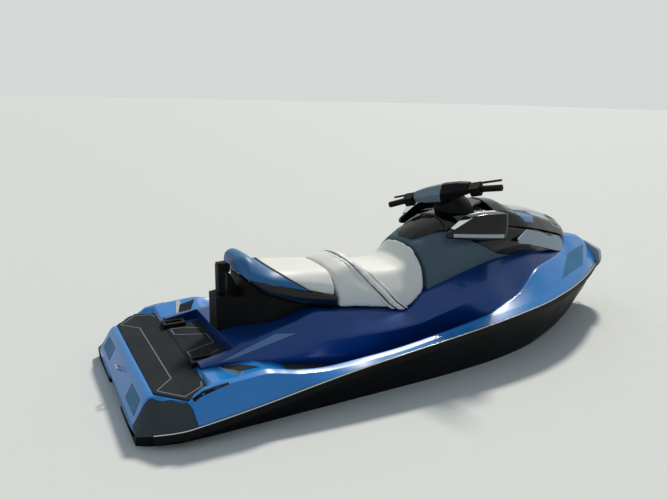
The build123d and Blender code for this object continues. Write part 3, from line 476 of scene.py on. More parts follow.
def softened(node, material, slot, width, segments):
    """A merged copy of a CAD node with its edges rounded by a width in millimetres, standing for the node."""
    twin = copy_of(frame["nodes"][node], f"{node}_finish")
    edit = bmesh.new()
    edit.from_mesh(twin.data)
    bmesh.ops.remove_doubles(edit, verts=edit.verts, dist=SAME_POINT)
    bmesh.ops.dissolve_limit(edit, angle_limit=FLAT, verts=edit.verts, edges=edit.edges)
    edit.to_mesh(twin.data)
    edit.free()
    bevel_edges(shaded(twin), width, segments)
    return dress(twin, material, body_of(node), [node])


print(len(bodies), "bodies carry", sum(len(members) for members in bodies.values()), "CAD nodes")


# %% [markdown]
# ## Finishes
# Each finish starts from the real material: how it was made decides its gloss, its grain and its colour.
# A flat colour would look like a toy, and a photograph of a surface wouldn't fit its size, so the tone and
# the gloss drift a little over each piece by nodes, and a grain of a known size goes on top.

# %% Painted, moulded and cast surfaces
# The noise has about this many clouds a metre, and moves the roughness by this share up and down
CLOUDS, WEAR = 6.0, 0.15
# Clear coat is polished
COAT_ROUGH = 0.05


def finish(name, colour, second, roughness, grain_mm=0.0, grain_deep=0.0, coat=0.0, metallic=0.0, level=0.5):
    """A moulded, cast or painted surface.

    The base colour drifts between two close colours by a soft cloud, and the roughness with it. The grain is
    a noise as bump, grain_deep millimetres high. Its lumps are two grain_mm apart, so its scale is 1000
    divided by that. Real moulded grain is under 1 mm and is drawn coarser here, because it wouldn't show.
    """
    material = bpy.data.materials.new(name)
    material.use_nodes = True
    tree = material.node_tree
    tree.nodes.clear()
    place = add(tree, "ShaderNodeTexCoord")
    cloud = add(tree, "ShaderNodeTexNoise", [("Scale", CLOUDS), ("Detail", 4.0), ("Roughness", 0.6)],
                [("Vector", place.outputs["Object"])])
    tone = add(tree, "ShaderNodeMix", [("data_type", "RGBA"), (6, linear(colour)), (7, linear(second))],
               [(0, cloud.outputs["Fac"])])
    rough = add(tree, "ShaderNodeMapRange",
                [("From Min", 0.3), ("From Max", 0.7), ("To Min", roughness * (1 - WEAR)),
                 ("To Max", roughness * (1 + WEAR))], [("Value", cloud.outputs["Fac"])])
    shader = add(tree, "ShaderNodeBsdfPrincipled",
                 [("Metallic", metallic), ("Coat Weight", coat), ("Coat Roughness", COAT_ROUGH),
                  ("Specular IOR Level", level)],
                 [("Base Color", tone.outputs[2]), ("Roughness", rough.outputs[0])])
    if grain_mm > 0:
        grain = add(tree, "ShaderNodeTexNoise", [("Scale", 1000 / grain_mm / 2), ("Detail", 2.0)],
                    [("Vector", place.outputs["Object"])])
        bump = add(tree, "ShaderNodeBump", [("Strength", 0.5), ("Distance", grain_deep * MM)],
                   [("Height", grain.outputs["Fac"])])
        tree.links.new(bump.outputs[0], shader.inputs["Normal"])
    add(tree, "ShaderNodeOutputMaterial", (), [("Surface", shader.outputs[0])])
    return material


print("tone and gloss drift over clouds of", round(1 / CLOUDS, 2), "m")

# %% Paint and gelcoat
# Azure gelcoat, moulded in a polished tool: an even deep colour with clear reflections
blue = finish("azure gelcoat", "#0877c6", "#0b7fd0", 0.3, coat=0.3, level=0.4)
# Blue metallic base coat under clear coat, which turns navy in the shade; its flake is a fine bump
navy = finish("navy metallic paint", "#053676", "#073e84", 0.35, 3, 0.015, coat=0.3, metallic=0.35, level=0.3)
# Sprayed stripe without flake, lighter than the paint round it
stripe_blue = finish("slate blue paint", "#4a76ab", "#517eb3", 0.4, coat=0.2)
# Printed vinyl film: a flat satin colour, duller than the gelcoat that it lies on. On the transom its dark
# blue is also painted shade
inset_blue = finish("deep blue film and painted shade", "#14608f", "#1a6a9a", 0.5, level=0.3)
# Black gelcoat of the hull, dulled by use: dark, with a weak broad shine
hull_black = finish("black gelcoat", "#020305", "#030508", 0.5, level=0.12)
# Painted plastic trim: smooth, with soft clear reflections. The hood's satin silver also makes the painted
# reflection band on the mirror pods
panel = finish("satin grey paint", "#8495a3", "#8b9caa", 0.35, coat=0.2)
hood_grey = finish("satin silver paint and painted reflection", "#9aabb4", "#a2b2bb", 0.32, coat=0.25)
print(len(bpy.data.materials), "finishes so far")

# %% Moulded plastic, film and glass
# Carbon-black polypropylene, moulded with a leather grain that breaks up the shine
black = finish("grained black polypropylene", "#050608", "#08090b", 0.6, 2.5, 0.12, level=0.15)
# Rotomoulded polyethylene: waxy and dull
cap_grey = finish("dark grey polyethylene", "#263036", "#2e383e", 0.5, 2.5, 0.1, level=0.3)
# Acrylic over black: deep, with near mirror reflections
gloss = finish("piano black acrylic", "#020305", "#030406", 0.14, coat=0.2, level=0.25)
# Moulded polyolefin skin, blue grey with a fine grain
console_grey = finish("grey moulded polyolefin", "#3f5563", "#475d6b", 0.5, 2.5, 0.08, level=0.3)
# Thermoplastic rubber of the bumper: soft to the eye, without a sharp highlight
bumper_grey = finish("grey thermoplastic rubber", "#9a9fa3", "#a4a9ac", 0.5, 3, 0.06, level=0.3)
# Extruded rubber of rail, grips and foot: nearly black, smooth along its length
rubber = finish("extruded rubber", "#040506", "#060708", 0.6, 4, 0.05, level=0.15)
# Cover glass of the display, dark while it is off
screen = finish("screen glass", "#070c10", "#0a1014", 0.06, coat=1.0)
print(len(bpy.data.materials), "finishes so far")

# %% Mats and seat vinyl
# Closed-cell foam, brushed for grip: no shine at all
mat_foam = finish("foam traction mat", "#23282c", "#2b3034", 0.9, 2.0, 0.25, level=0.12)
# The lighter foam that shows where a groove is routed
mat_line = finish("routed foam groove", "#6f7b80", "#78848a", 0.8, level=0.2)
# Coated vinyl with an embossed leather grain: a broad soft sheen
vinyl = finish("pale marine vinyl", "#dcdedc", "#e2e4e1", 0.5, 2.2, 0.1, level=0.3)
vinyl_blue = finish("blue marine vinyl", "#1f5f94", "#25669c", 0.45, 2.2, 0.1, level=0.35)
pad_grey = finish("grey marine vinyl", "#6a7a88", "#718290", 0.5, 2.2, 0.1, level=0.35)
# Thread and the shade in a sewn fold: dull and dark
seam_dark = finish("sewn seam thread and fold", "#232b33", "#2a323a", 0.8, level=0.2)
print(len(bpy.data.materials), "finishes so far")

# %% Metal
# Sand-cast aluminium of the pump: bright but rough
cast = finish("cast aluminium", "#b7b9bb", "#a9acae", 0.45, 3, 0.2, metallic=1.0)
# Polished stainless steel of eyes, strip and impeller: bright, with clear reflections
steel = finish("polished stainless steel", "#c8c8c6", "#bfbfbd", 0.2, metallic=1.0)
# Painted highlights: a metallic silver laid as slim blades where the sun glints on an edge, a soft silver
# shine
silver = finish("painted highlight silver", "#c6c9c9", "#bdc0c1", 0.25, metallic=0.9)
# Cast iron under sprayed heat-proof enamel: an even dark half gloss over the grain of the casting
iron = finish("enamelled cast iron", "#2a2c2e", "#303234", 0.5, 4, 0.3)
# Silvered glass of the mirrors: a sharp reflection with hardly a colour of its own
mirror = finish("silvered mirror", "#dfe3e6", "#e3e6e9", 0.03, metallic=1.0)
print(len(bpy.data.materials), "finishes")

# %% [markdown]
# ## Hull
# The hull is one moulding of glass fibre: a V bottom with a hard chine and a strake, and flared topsides up
# to the bond line. It could be a box pulled into shape; the table of keel, chine and bond line is how such a
# hull is drawn, and it gives the hull that the CAD model has, without its flats. The pump's tunnel and the
# intake are cut out of it, and its upper side dips where the footwells lie in it.

# %% Hull
HULL = [
    # x, keel_z, chine_y, chine_z, rail_y, rail_z
    (0, -222, 455, -60, 508, 50),
    (60, -226, 490, -58, 548, 58),
    (210, -231, 520, -56, 604, 78),
    (500, -235, 530, -54, 617, 117),
    (950, -235, 535, -52, 621, 180),
    (1500, -235, 537, -45, 622, 235),
    (1850, -235, 525, -32, 612, 265),
    (2250, -230, 475, 0, 573, 297),
    (2550, -212, 405, 42, 500, 318),
    (2800, -172, 322, 92, 404, 330),
    (3000, -105, 230, 140, 306, 336),
    (3180, 0, 150, 190, 205, 340),
    (3330, 128, 72, 245, 108, 343),
    (3425, 262, 24, 302, 38, 345),
]
WELL = [
    # x, floor_z, which is out of reach where there is no footwell
    (0, 400), (560, 400), (640, 203), (720, 170), (885, 133), (1060, 96), (1250, 62), (1640, 62),
    (1850, 150), (1990, 290), (2300, 450), (3500, 450),
]
TUNNEL_AFT, TUNNEL_FRONT, TUNNEL_HALF, TUNNEL_ROOF = -20, 480, 150, 52
INTAKE_HALF = 82
INTAKE = [(479, -198), (479, -37), (560, -37), (960, -205), (960, -400), (479, -400)]
# Low and high ends of a cutter that goes right through
THROUGH = (-400, 400)


def footwell_floor(station):
    """Height of the footwell's floor; outside the footwells a height above everything there."""
    knots, heights = zip(*WELL)
    return np.interp(station, knots, heights)


x, (keel_z, chine_y, chine_z, rail_y, rail_z) = from_table(HULL)
strake_y, strake_z = chine_y * 0.55, keel_z + (chine_z - keel_z) * 0.5
inner_z = np.minimum(rail_z - 30, footwell_floor(x) - 20)
# Keel, strake and its step, chine, bond line, and the upper side
half = pairs(0, keel_z, strake_y, strake_z, strake_y * 1.03, strake_z - 6, chine_y * 0.98, chine_z - 8,
             chine_y, chine_z + 6, rail_y - 1, rail_z, rail_y * 0.955, rail_z - 2,
             chine_y * 0.97, inner_z, 0, inner_z)
hull = moulding("hull_moulding", x, half, [10, 4, 4, 6, 10, 4, 4, 4, 10])
TUNNEL = [(TUNNEL_AFT, -TUNNEL_HALF), (TUNNEL_FRONT, -TUNNEL_HALF), (TUNNEL_FRONT, TUNNEL_HALF),
          (TUNNEL_AFT, TUNNEL_HALF)]
carved(hull, prism(TUNNEL, UPRIGHT, THROUGH[0], TUNNEL_ROOF))
carved(hull, prism(INTAKE, ACROSS, -INTAKE_HALF, INTAKE_HALF))
dress(hull, hull_black, "craft",
      ["hull", "hull_quarter_port", "hull_quarter_starboard", "topside_port", "topside_starboard"])


def rail_at(station):
    """Half width and height of the bond line at a station."""
    return flow([row[0] for row in HULL], [(row[4], row[5]) for row in HULL], np.atleast_1d(station)).T


# %% [markdown]
# ## Rub rail
# A rubber extrusion covers the bond line between hull and deck, with a bright strip in its upper edge. A
# curve with a bevel profile would do; here the profile is carried along the same table that shapes the hull
# and the deck, so that it can't leave the line, and one side is mirrored to the other.

# %% Rub rail
RAIL_FROM, RAIL_TO, RAIL_STATIONS = 62.0, 3424.0, 180
RAIL = [(-8, -33), (3, -33), (5.5, -24), (5.5, 3), (2, 7.5), (-6, 7.5)]
STRIP = [(0, 6.5), (3.6, 4.5), (5.0, 6.5), (2.5, 9.3), (0, 9.3)]


def rail_strip(name, section, radius):
    """A profile of (out, up) points from the bond line, run round one side of the craft, and its mirror."""
    x = np.linspace(RAIL_FROM, RAIL_TO, RAIL_STATIONS)
    y, z = rail_at(x)
    rings = np.stack([np.stack([y + out, z + rise], -1) for out, rise in section], 1)
    port = loft(name, x, rounded(rings, radius))
    return joined(name, port, mirrored_copy(port, "other"))


dress(rail_strip("rub_rail_profile", RAIL, 2.0), rubber, "craft", ["rub_rail"])
dress(rail_strip("rub_rail_bright_strip", STRIP, 0.6), steel)

# %% [markdown]
# ## Deck
# One blue moulding carries the stern platform, the shoulders behind the footwells, the footwells between
# gunwale and body, and the peaked bow. It could be several panels, but on the craft it comes out of one tool,
# so one loft goes from stern to bow. Its underside dips below the footwells.

# %% Deck
DECK = [
    # x, mid_z, bed_y, bed_z, foot_y, foot_z, in_y, in_z, out_y, out_z
    (2, 72, 200, 72, 400, 71, 438, 70, 488, 60),
    (84, 189, 200, 190, 400, 190, 440, 188, 506, 118),
    (200, 190, 250, 190, 520, 190, 562, 188, 584, 146),
    (285, 200, 265, 200, 503, 200, 538, 232, 566, 226),
    (306, 202, 268, 202, 496, 203, 538, 234, 567, 228),
    (324, 203, 272, 203, 330, 214, 538, 237, 568, 231),
    (430, 204, 276, 205, 400, 224, 537, 246, 570, 239),
    (556, 206, 280, 207, 460, 243, 535, 255, 572, 245),
    (640, 203, 330, 200, 478, 203, 536, 238, 573, 229),
    (720, 170, 340, 170, 485, 172, 540, 220, 575, 212),
    (885, 133, 340, 133, 490, 135, 543, 205, 578, 198),
    (1060, 96, 340, 96, 490, 98, 544, 211, 579, 203),
    (1250, 62, 340, 62, 490, 64, 544, 220, 579, 212),
    (1521, 62, 340, 62, 490, 64, 544, 250, 575, 242),
    (1640, 62, 340, 62, 488, 66, 541, 263, 572, 255),
    (1850, 150, 340, 150, 480, 152, 531, 289, 562, 281),
    (1990, 290, 330, 290, 455, 291, 505, 305, 547, 295),
    (2200, 349, 250, 349, 380, 350, 449, 348, 537, 315),
    (2440, 442, 150, 442, 290, 443, 355, 441, 479, 345),
    (2700, 470, 100, 469, 200, 466, 257, 461, 401, 364),
    (2850, 500, 80, 492, 145, 480, 189, 469, 349, 372),
    (3000, 545, 60, 530, 110, 500, 149, 477, 285, 378),
    (3180, 518, 35, 505, 60, 486, 84, 467, 179, 380),
    (3320, 432, 18, 428, 32, 421, 44, 414, 97, 374),
    (3395, 380, 8, 377, 16, 374, 24, 371, 51, 366),
    (3425, 368, 5, 367, 9, 366, 14, 364, 28, 360),
]
x, (mid_z, bed_y, bed_z, foot_y, foot_z, in_y, in_z, out_y, out_z) = from_table(DECK, 12.0)
rail_y, rail_z = rail_at(x)
under_z = np.minimum(rail_z - 26, footwell_floor(x) - 14)
# Underside, bond line, gunwale, foot of the gunwale, bed of the footwell, and the middle
half = pairs(0, under_z, rail_y * 0.8, under_z, rail_y * 0.94, rail_z - 2, rail_y - 1, rail_z + 3,
             out_y, out_z, in_y, in_z, foot_y, foot_z, bed_y, bed_z, 0, mid_z)
deck = moulding("deck_moulding", x, half, [0, 4, 4, 3, 5, 8, 24, 16, 14])
# A height under everything on the deck
UNDER_DECK = -60
carved(deck, prism(TUNNEL, UPRIGHT, UNDER_DECK, TUNNEL_ROOF))
print("deck before its corners are cut off:", len(deck.data.polygons), "faces")

# %% [markdown]
# ## Stern corner caps
# Dark polyethylene caps guard the corners of the stern. They are bolted over the deck with a thin joint. A
# cap could be modelled by itself; cut out of a copy of the deck it has exactly the deck's shape, and the gap
# between the two cuts is the joint.

# %% Stern corner caps
CAP_PLAN = [(-30, 430), (86, 444), (214, 568), (262, 640), (262, 720), (-30, 720)]
CAP_GAP = 3.0
CAP_HEIGHTS = (UNDER_DECK, 300)
SIDES = (("port", 1), ("starboard", -1))
for side, sign in SIDES:
    cap = copy_of(deck, f"stern_cap_{side}_moulding")
    shifted = [(px - CAP_GAP, sign * (py + CAP_GAP)) for px, py in CAP_PLAN]
    carved(cap, prism(shifted, UPRIGHT, *CAP_HEIGHTS), "INTERSECT")
    dress(bevel_edges(cap, 3), cap_grey, "craft", [f"stern_cap_{side}"])
    carved(deck, prism([(px, sign * py) for px, py in CAP_PLAN], UPRIGHT, *CAP_HEIGHTS))
dress(bevel_edges(deck, 2), blue, "craft", ["deck", "gunwale_port", "gunwale_starboard"])

# %% [markdown]
# ## Bow bumper
# A soft grey bumper wraps the tip of the bow, and a dark rubber foot carries it on down the stem. Both are
# closed lofts that stand a little proud of the hull. Thickening the hull's own faces would follow every
# crease of the bow, and a bumper bridges them.

# %% Bow bumper
BUMPER = [
    # x, low_z, turn_y, turn_z, side_y, side_z, brow_y, brow_z, top_z
    (3255, 176, 128, 256, 190, 342, 160, 428, 478),
    (3320, 192, 106, 264, 152, 342, 128, 420, 456),
    (3380, 214, 76, 276, 108, 342, 90, 402, 426),
    (3425, 240, 46, 290, 68, 342, 54, 380, 396),
    (3448, 272, 24, 304, 38, 340, 26, 362, 370),
]
x, (low_z, turn_y, turn_z, side_y, side_z, brow_y, brow_z, top_z) = from_table(BUMPER, 6.0)
half = pairs(0, low_z, turn_y, turn_z, side_y, side_z, brow_y, brow_z, 0, top_z)
bumper = moulding("bow_bumper_moulding", x, half, [14] * 5, 6.0)
dress(bumper, bumper_grey, "craft", ["bow_bumper"])

# %% Foot of the bumper
FOOT_TOP = 336
FOOT = [
    # x, low_z, turn_y, turn_z, side_y
    (3345, 126, 74, 262, 104),
    (3400, 203, 46, 284, 72),
    (3437, 254, 26, 306, 42),
]
x, (low_z, turn_y, turn_z, side_y) = from_table(FOOT, 6.0)
half = pairs(0, low_z, turn_y, turn_z, side_y, FOOT_TOP, 0, FOOT_TOP)
foot = moulding("bow_bumper_foot", x, half, [12, 14, 8, 0], 4.0)
dress(foot, rubber)

# %% [markdown]
# ## Centre body
# The navy moulding between the footwells stands under the seats, creases outwards beside them and flares
# forward into the bow. Its corner points follow the crease that catches the light in the picture. A bay for
# the mat and the pylon's pedestal is cut out of its aft end, which leaves two arms.

# %% Centre body
BODY = [
    # x, foot_y, foot_z, skirt_y, skirt_z, crease_y, crease_z, top_y, top_z
    (326, 351, 192, 350, 226, 345, 232, 332, 237),
    (420, 361, 185, 354, 240, 340, 248, 311, 253),
    (540, 373, 180, 368, 236, 334, 260, 281, 279),
    (660, 377, 150, 374, 212, 342, 264, 279, 305),
    (836, 369, 95, 378, 174, 356, 262, 279, 344),
    (960, 357, 65, 379, 149, 367, 256, 275, 373),
    (1106, 351, 55, 379, 122, 379, 252, 277, 352),
    (1300, 351, 45, 379, 105, 395, 250, 285, 329),
    (1500, 351, 45, 383, 108, 407, 262, 304, 307),
    (1650, 364, 55, 397, 140, 419, 300, 284, 387),
    (1850, 423, 120, 431, 205, 423, 352, 269, 441),
    (1990, 503, 280, 477, 318, 401, 398, 261, 473),
    (2200, 450, 330, 419, 368, 337, 446, 251, 511),
    (2440, 357, 420, 339, 444, 289, 484, 241, 523),
    (2700, 261, 440, 255, 458, 235, 474, 204, 489),
    (2858, 184, 450, 182, 462, 173, 468, 159, 474),
]
x, (foot_y, foot_z, skirt_y, skirt_z, crease_y, crease_z, top_y, top_z) = from_table(BODY, 12.0)
half = pairs(0, foot_z, foot_y - 4, foot_z, skirt_y, skirt_z, crease_y, crease_z, top_y, top_z, 0, top_z)
body = moulding("centre_body_moulding", x, half, [0, 6, 30, 12, 22, 0])
BAY, BAY_HEIGHTS = [(300, -297), (500, -297), (500, 297), (300, 297)], (100, 500)
carved(body, prism(BAY, UPRIGHT, *BAY_HEIGHTS))
dress(bevel_edges(body, 3), navy, "craft", ["centre_body", "centre_body_fore"])

# %% [markdown]
# ## Console and fairing
# A grey console rises from the body under the bar, and a glossy black fairing lies over it up to the hood.
# Two lofts would never quite meet, so one loft is split along the line that the picture shows, with a joint
# of 3 mm. The fairing is opened over the front bin and under the hood, and the side panels lie in a seat.

# %% Console and fairing
CONSOLE = [
    # x, low_y, low_z, mid_y, mid_z, top_y, top_z, crown_z
    (1662, 272, 380, 250, 520, 130, 622, 632),
    (1810, 268, 425, 252, 600, 165, 680, 690),
    (2000, 258, 468, 262, 620, 205, 695, 704),
    (2200, 250, 505, 280, 630, 228, 701, 703),
    (2420, 236, 515, 268, 610, 250, 676, 678),
    (2700, 200, 482, 196, 570, 184, 613, 614),
    (2888, 148, 464, 144, 520, 128, 565, 566),
]
FAIRING_EDGE = [(1600, 727), (1780, 709), (1935, 656), (2037, 611), (2180, 541), (2345, 508), (2513, 489),
                (2750, 478), (2900, 470), (2950, 450)]
JOINT = 3
# A height over everything on the console
OVER = 800
BIN, BIN_FLOOR = [(2450, -150), (2780, -150), (2780, 150), (2450, 150)], 530
HOOD_EDGE, HOOD_HALF = [(2200, 705), (2420, 677.5), (2600, 639.5), (2800, 589.5), (2930, 553)], 247
PANEL_SEAT = [(2430, 275), (2445, 255), (2523, 233), (2574, 219), (2643, 201), (2739, 176), (2765, 195)]
PANEL_LOW = 300
x, (low_y, low_z, mid_y, mid_z, top_y, top_z, crown_z) = from_table(CONSOLE)
half = pairs(0, low_z, low_y, low_z, mid_y, mid_z, top_y, top_z, 0, crown_z)
console = moulding("console_moulding", x, half, [0, 10, 45, 35, 40], 10.0)
fairing = copy_of(console, "fairing_moulding")
carved(console, prism(FAIRING_EDGE + [(2950, OVER), (1600, OVER)], ACROSS, *THROUGH))
raised = [(px, pz + JOINT) for px, pz in FAIRING_EDGE]
carved(fairing, prism(raised + [(2950, OVER), (1600, OVER)], ACROSS, *THROUGH), "INTERSECT")
carved(fairing, prism(BIN, UPRIGHT, BIN_FLOOR, OVER))
carved(fairing, prism(HOOD_EDGE + [(2930, OVER), (2200, OVER)], ACROSS, -HOOD_HALF, HOOD_HALF))
for side, sign in SIDES:
    beside = [(px, sign * py) for px, py in PANEL_SEAT + [(2765, 320), (2430, 320)]]
    carved(fairing, prism(beside, UPRIGHT, PANEL_LOW, OVER))
dress(bevel_edges(console, 3), console_grey, "craft", ["console"])
dress(bevel_edges(fairing, 3), gloss, "craft", ["fairing"])

# %% [markdown]
# ## Hood
# The hood is a thin acrylic shell that swings open over the front bin. A sheet given a thickness would do,
# but its rolled edge and its flat nose are easier on a closed loft, so that is hollowed from below by a
# smaller loft, which leaves the same wall all round.

# %% Hood
HOOD = [
    # x, edge_y, edge_z, mid_y, mid_z, crown_z
    (2216, 221, 705, 170, 785, 842),
    (2310, 235, 692, 182, 773, 834),
    (2420, 247, 678, 190, 744, 788),
    (2600, 211, 640, 160, 711, 758),
    (2800, 157, 590, 118, 651, 704),
    (2920, 121, 557, 88, 611, 656),
    (3018, 52, 547, 36, 565, 575),
]
x, (edge_y, edge_z, mid_y, mid_z, crown_z) = from_table(HOOD, 10.0)
half = pairs(0, edge_z, edge_y, edge_z, mid_y, mid_z, mid_y * 0.45, (mid_z + 2 * crown_z) / 3 + 4,
             0, crown_z)
hood = moulding("hood_moulding", x, half, [0, 8, 16, 26, 40], 8.0)
# Thickness of the shell, and the stations between which it is hollow
WALL, HOLLOW_AFT, HOLLOW_FORE = 16, 2236, 2900
below = edge_z - 60
inner = pairs(0, below, edge_y - WALL, below, mid_y - WALL, mid_z - WALL, 0, crown_z - WALL - 6)
hollow = (x > HOLLOW_AFT) & (x < HOLLOW_FORE)
carved(hood, loft("cutter", x[hollow], both_sides(inner[hollow])))
dress(bevel_edges(hood, 2), gloss, "hood", ["hood"])

# %% [markdown]
# ## Instrument cowl and glovebox lid
# The display sits in a hooded cowl under the bar, and the lid aft of it covers the glovebox. Both are
# glossy mouldings with a soft crown, so both are lofts. The lid is hollow and its underside is cut to the
# fairing's slope, so that it closes on the fairing with a hair's gap and opens without touching it.

# %% Instrument cowl
COWL = [
    # x, low_z, low_y, mid_y, mid_z, top_y, top_z, crown_z
    (1860, 660, 160, 146, 704, 108, 747, 763),
    (1960, 660, 190, 170, 720, 110, 767, 781),
    (2060, 660, 200, 180, 730, 120, 775, 791),
    (2209, 660, 209, 195, 730, 150, 779, 795),
]
x, (low_z, low_y, mid_y, mid_z, top_y, top_z, crown_z) = from_table(COWL)
half = pairs(0, low_z, low_y, low_z, mid_y, mid_z, top_y, top_z, 0, crown_z)
cowl = moulding("instrument_cowl_moulding", x, half, [0, 8, 30, 40, 60], 5.0)
dress(cowl, gloss, "craft", ["instrument_cowl"])

# %% Glovebox lid
# Gap under the lid, thickness of its shell, and the stations between which it is hollow
LID_GAP, LID_WALL, LID_AFT, LID_FORE = 0.6, 12, 1686, 1838
SLOPE = [(1600, 606), (1662, 632), (1810, 690), (2000, 704)]
LID = [
    # x, low_z, low_y, top_y, top_z, crown_z
    (1673, 637, 65, 50, 643, 652),
    (1705, 640, 96, 70, 672, 684),
    (1750, 643, 129, 93, 698, 712),
    (1800, 648, 150, 104, 722, 739),
    (1849, 652, 165, 111, 743, 759),
]
x, (low_z, low_y, top_y, top_z, crown_z) = from_table(LID, 8.0)
half = pairs(0, low_z, low_y, low_z, low_y - 8, (low_z + top_z) / 2 + 8, top_y, top_z, 0, crown_z)
lid = moulding("glovebox_lid_moulding", x, half, [0, 6, 16, 30, 60], 4.0)
below = low_z - 20
inner = pairs(0, below, low_y - LID_WALL, below, top_y - 10, top_z - LID_WALL, 0, crown_z - LID_WALL)
hollow = (x > LID_AFT) & (x < LID_FORE)
carved(lid, loft("cutter", x[hollow], both_sides(inner[hollow])))
under = [(px, pz + LID_GAP) for px, pz in SLOPE] + [(2000, 500), (1600, 500)]
carved(lid, prism(under, ACROSS, -300, 300))
dress(lid, gloss, "glovebox", ["glovebox_lid"])

# %% [markdown]
# ## Mirror pods
# A wedge of glossy plastic on each side of the cowl widens forwards and holds a mirror on its aft face. One
# is lofted and the other mirrored, because a pair of mouldings comes from mirrored tools.

# %% Mirror pods
POD = [
    # x, in_y, out_y, low_z, top_z
    (1808, 222, 251, 663, 696),
    (1870, 222, 268, 658, 732),
    (1944, 222, 295, 651, 786),
    (2040, 224, 326, 647, 799),
    (2150, 226, 349, 646, 801),
    (2204, 228, 306, 651, 780),
]
x, (in_y, out_y, low_z, top_z) = from_table(POD, 10.0)
waist_z = low_z + (top_z - low_z) * 0.55
rings = pairs(in_y, low_z, out_y - 6, low_z, out_y, waist_z, out_y - 12, top_z, in_y, top_z)
pod = loft("mirror_pod_port_moulding", x, rounded(rings, [4, 12, 30, 10, 4]), 6.0)
dress(pod, gloss, "craft", ["mirror_pod_port"])
pod_right = mirrored_copy(pod, "mirror_pod_starboard_moulding")
dress(pod_right, gloss, "craft", ["mirror_pod_starboard"])

# %% [markdown]
# ## Seats
# Each seat is moulded foam under sewn vinyl, stretched tight. A smooth block would look like a casting, so
# each cover starts a little small and swells as cloth with some pressure inside, each point held within a
# few millimetres of its start. Seams come after that, because the even mesh of the cloth would lose them.

# %% Stuffed covers
CLOTH_FRAMES = 20
CLOTH = {"mass": 0.4, "tension_stiffness": 15, "compression_stiffness": 15, "bending_stiffness": 12,
         "quality": 5, "use_pressure": True}


def points_of(piece):
    """The points of a piece's mesh, one row each."""
    flat = np.empty(len(piece.data.vertices) * 3)
    piece.data.vertices.foreach_get("co", flat)
    return flat.reshape(-1, 3)


def stuffed(piece, swell, voxel, cap):
    """Swells a closed piece as padded cloth, with every point kept within cap millimetres of its start.

    The voxel is in millimetres too. A point that moved further is brought back along its own way.
    """
    remesh = piece.modifiers.new("even cloth", "REMESH")
    remesh.mode, remesh.voxel_size = "VOXEL", voxel * MM
    start = points_of(settle(piece))
    cloth = piece.modifiers.new("cloth", "CLOTH")
    for name, value in CLOTH.items():
        setattr(cloth.settings, name, value)
    cloth.settings.uniform_pressure_force = swell
    cloth.settings.effector_weights.gravity = 0
    cloth.collision_settings.use_collision = False
    for now in range(1, CLOTH_FRAMES + 1):
        bpy.context.scene.frame_set(now)
    settle(piece)
    end = points_of(piece)
    if len(end) == len(start):
        move = end - start
        size = np.linalg.norm(move, axis=1, keepdims=True) + TINY
        held = start + move * np.minimum(1, cap * MM / size)
        piece.data.vertices.foreach_set("co", held.ravel())
        piece.data.update()
        print(f"{piece.name}: swelled by {size.max() / MM:.1f} mm, held to {cap}")
    smooth = piece.modifiers.new("even skin", "SMOOTH")
    smooth.factor, smooth.iterations = 0.5, 8
    settle(piece)
    piece.data.shade_smooth()
    return piece


def seat_rings(table, radii, proud):
    """Stations and sections of a seat, pushed out all round by proud millimetres."""
    x, (low_y, low_z, side_y, side_z, top_y, top_z, crown_z) = from_table(table, 8.0)
    half = pairs(0, low_z, low_y + proud, low_z, side_y + proud, side_z, top_y + proud * 0.6, top_z + proud,
                 0, crown_z + proud)
    return x, rounded(both_sides(half), ring_radii(radii))


print("cloth swells for", CLOTH_FRAMES, "frames")

# %% [markdown]
# ## Rear seat
# Two places wide, with a blue band of vinyl across its aft end and a piped seam where the pale vinyl starts.
# The band could be paint on one cover; as a cover of its own, a little prouder, it shows the step of the
# sewn seam. The pale cover ends inside the band, and the piping is a thin slice of a fuller section.

# %% Rear seat
REAR_SEAT = [
    # x, low_y, low_z, side_y, side_z, top_y, top_z, crown_z
    (604, 118, 568, 128, 600, 93, 643, 647),
    (640, 192, 549, 187, 585, 118, 646, 655),
    (760, 211, 515, 204, 546, 148, 573, 580),
    (950, 232, 462, 224, 500, 163, 554, 564),
    (1083, 243, 424, 236, 470, 163, 543, 554),
]
REAR_RADII = [0, 6, 26, 42, 50]
BAND_LINE = [(630, 700), (648, 662), (720, 610), (800, 562), (930, 474), (1000, 420)]
# How far the pale cover goes on inside the band
UNDER = 14
BELOW = [(1000, 300), (550, 300), (550, 700)]
seat = loft("rear_seat_cover", *seat_rings(REAR_SEAT, REAR_RADII, -3), 10.0)
hidden = [(px - UNDER, pz - UNDER) for px, pz in BAND_LINE]
carved(seat, prism(hidden + BELOW, ACROSS, *THROUGH))
dress(stuffed(seat, 2.5, 7, 4.0), vinyl, "rear_seat", ["rear_seat"])

# %% Band and piping
band = loft("seat_band_cover", *seat_rings(REAR_SEAT, REAR_RADII, 3), 12.0)
carved(band, prism(BAND_LINE + BELOW, ACROSS, *THROUGH), "INTERSECT")
bevel_edges(band, 5, 4)
dress(band, vinyl_blue, "rear_seat", ["seat_band"])
piping = loft("seat_band_piping", *seat_rings(REAR_SEAT, REAR_RADII, 5), 4.0)
SEAM_LINE = [(752, 592), *BAND_LINE[3:]]
above = [(px + 3, pz + 3) for px, pz in SEAM_LINE]
below = [(px - 1, pz - 1) for px, pz in SEAM_LINE]
carved(piping, prism(above + below[::-1], ACROSS, *THROUGH), "INTERSECT")
dress(piping, seam_dark, "rear_seat")

# %% [markdown]
# ## Driver's seat and bolster
# The driver's seat rises to the console, and a bolster of three sewn strips slants across its aft end. The
# strips could be bumps in one cover; each is a slice of a fuller section between two slanted lines, stuffed
# by itself, so that it rolls off into the seam beside it. A low dark slice shows in each fold.

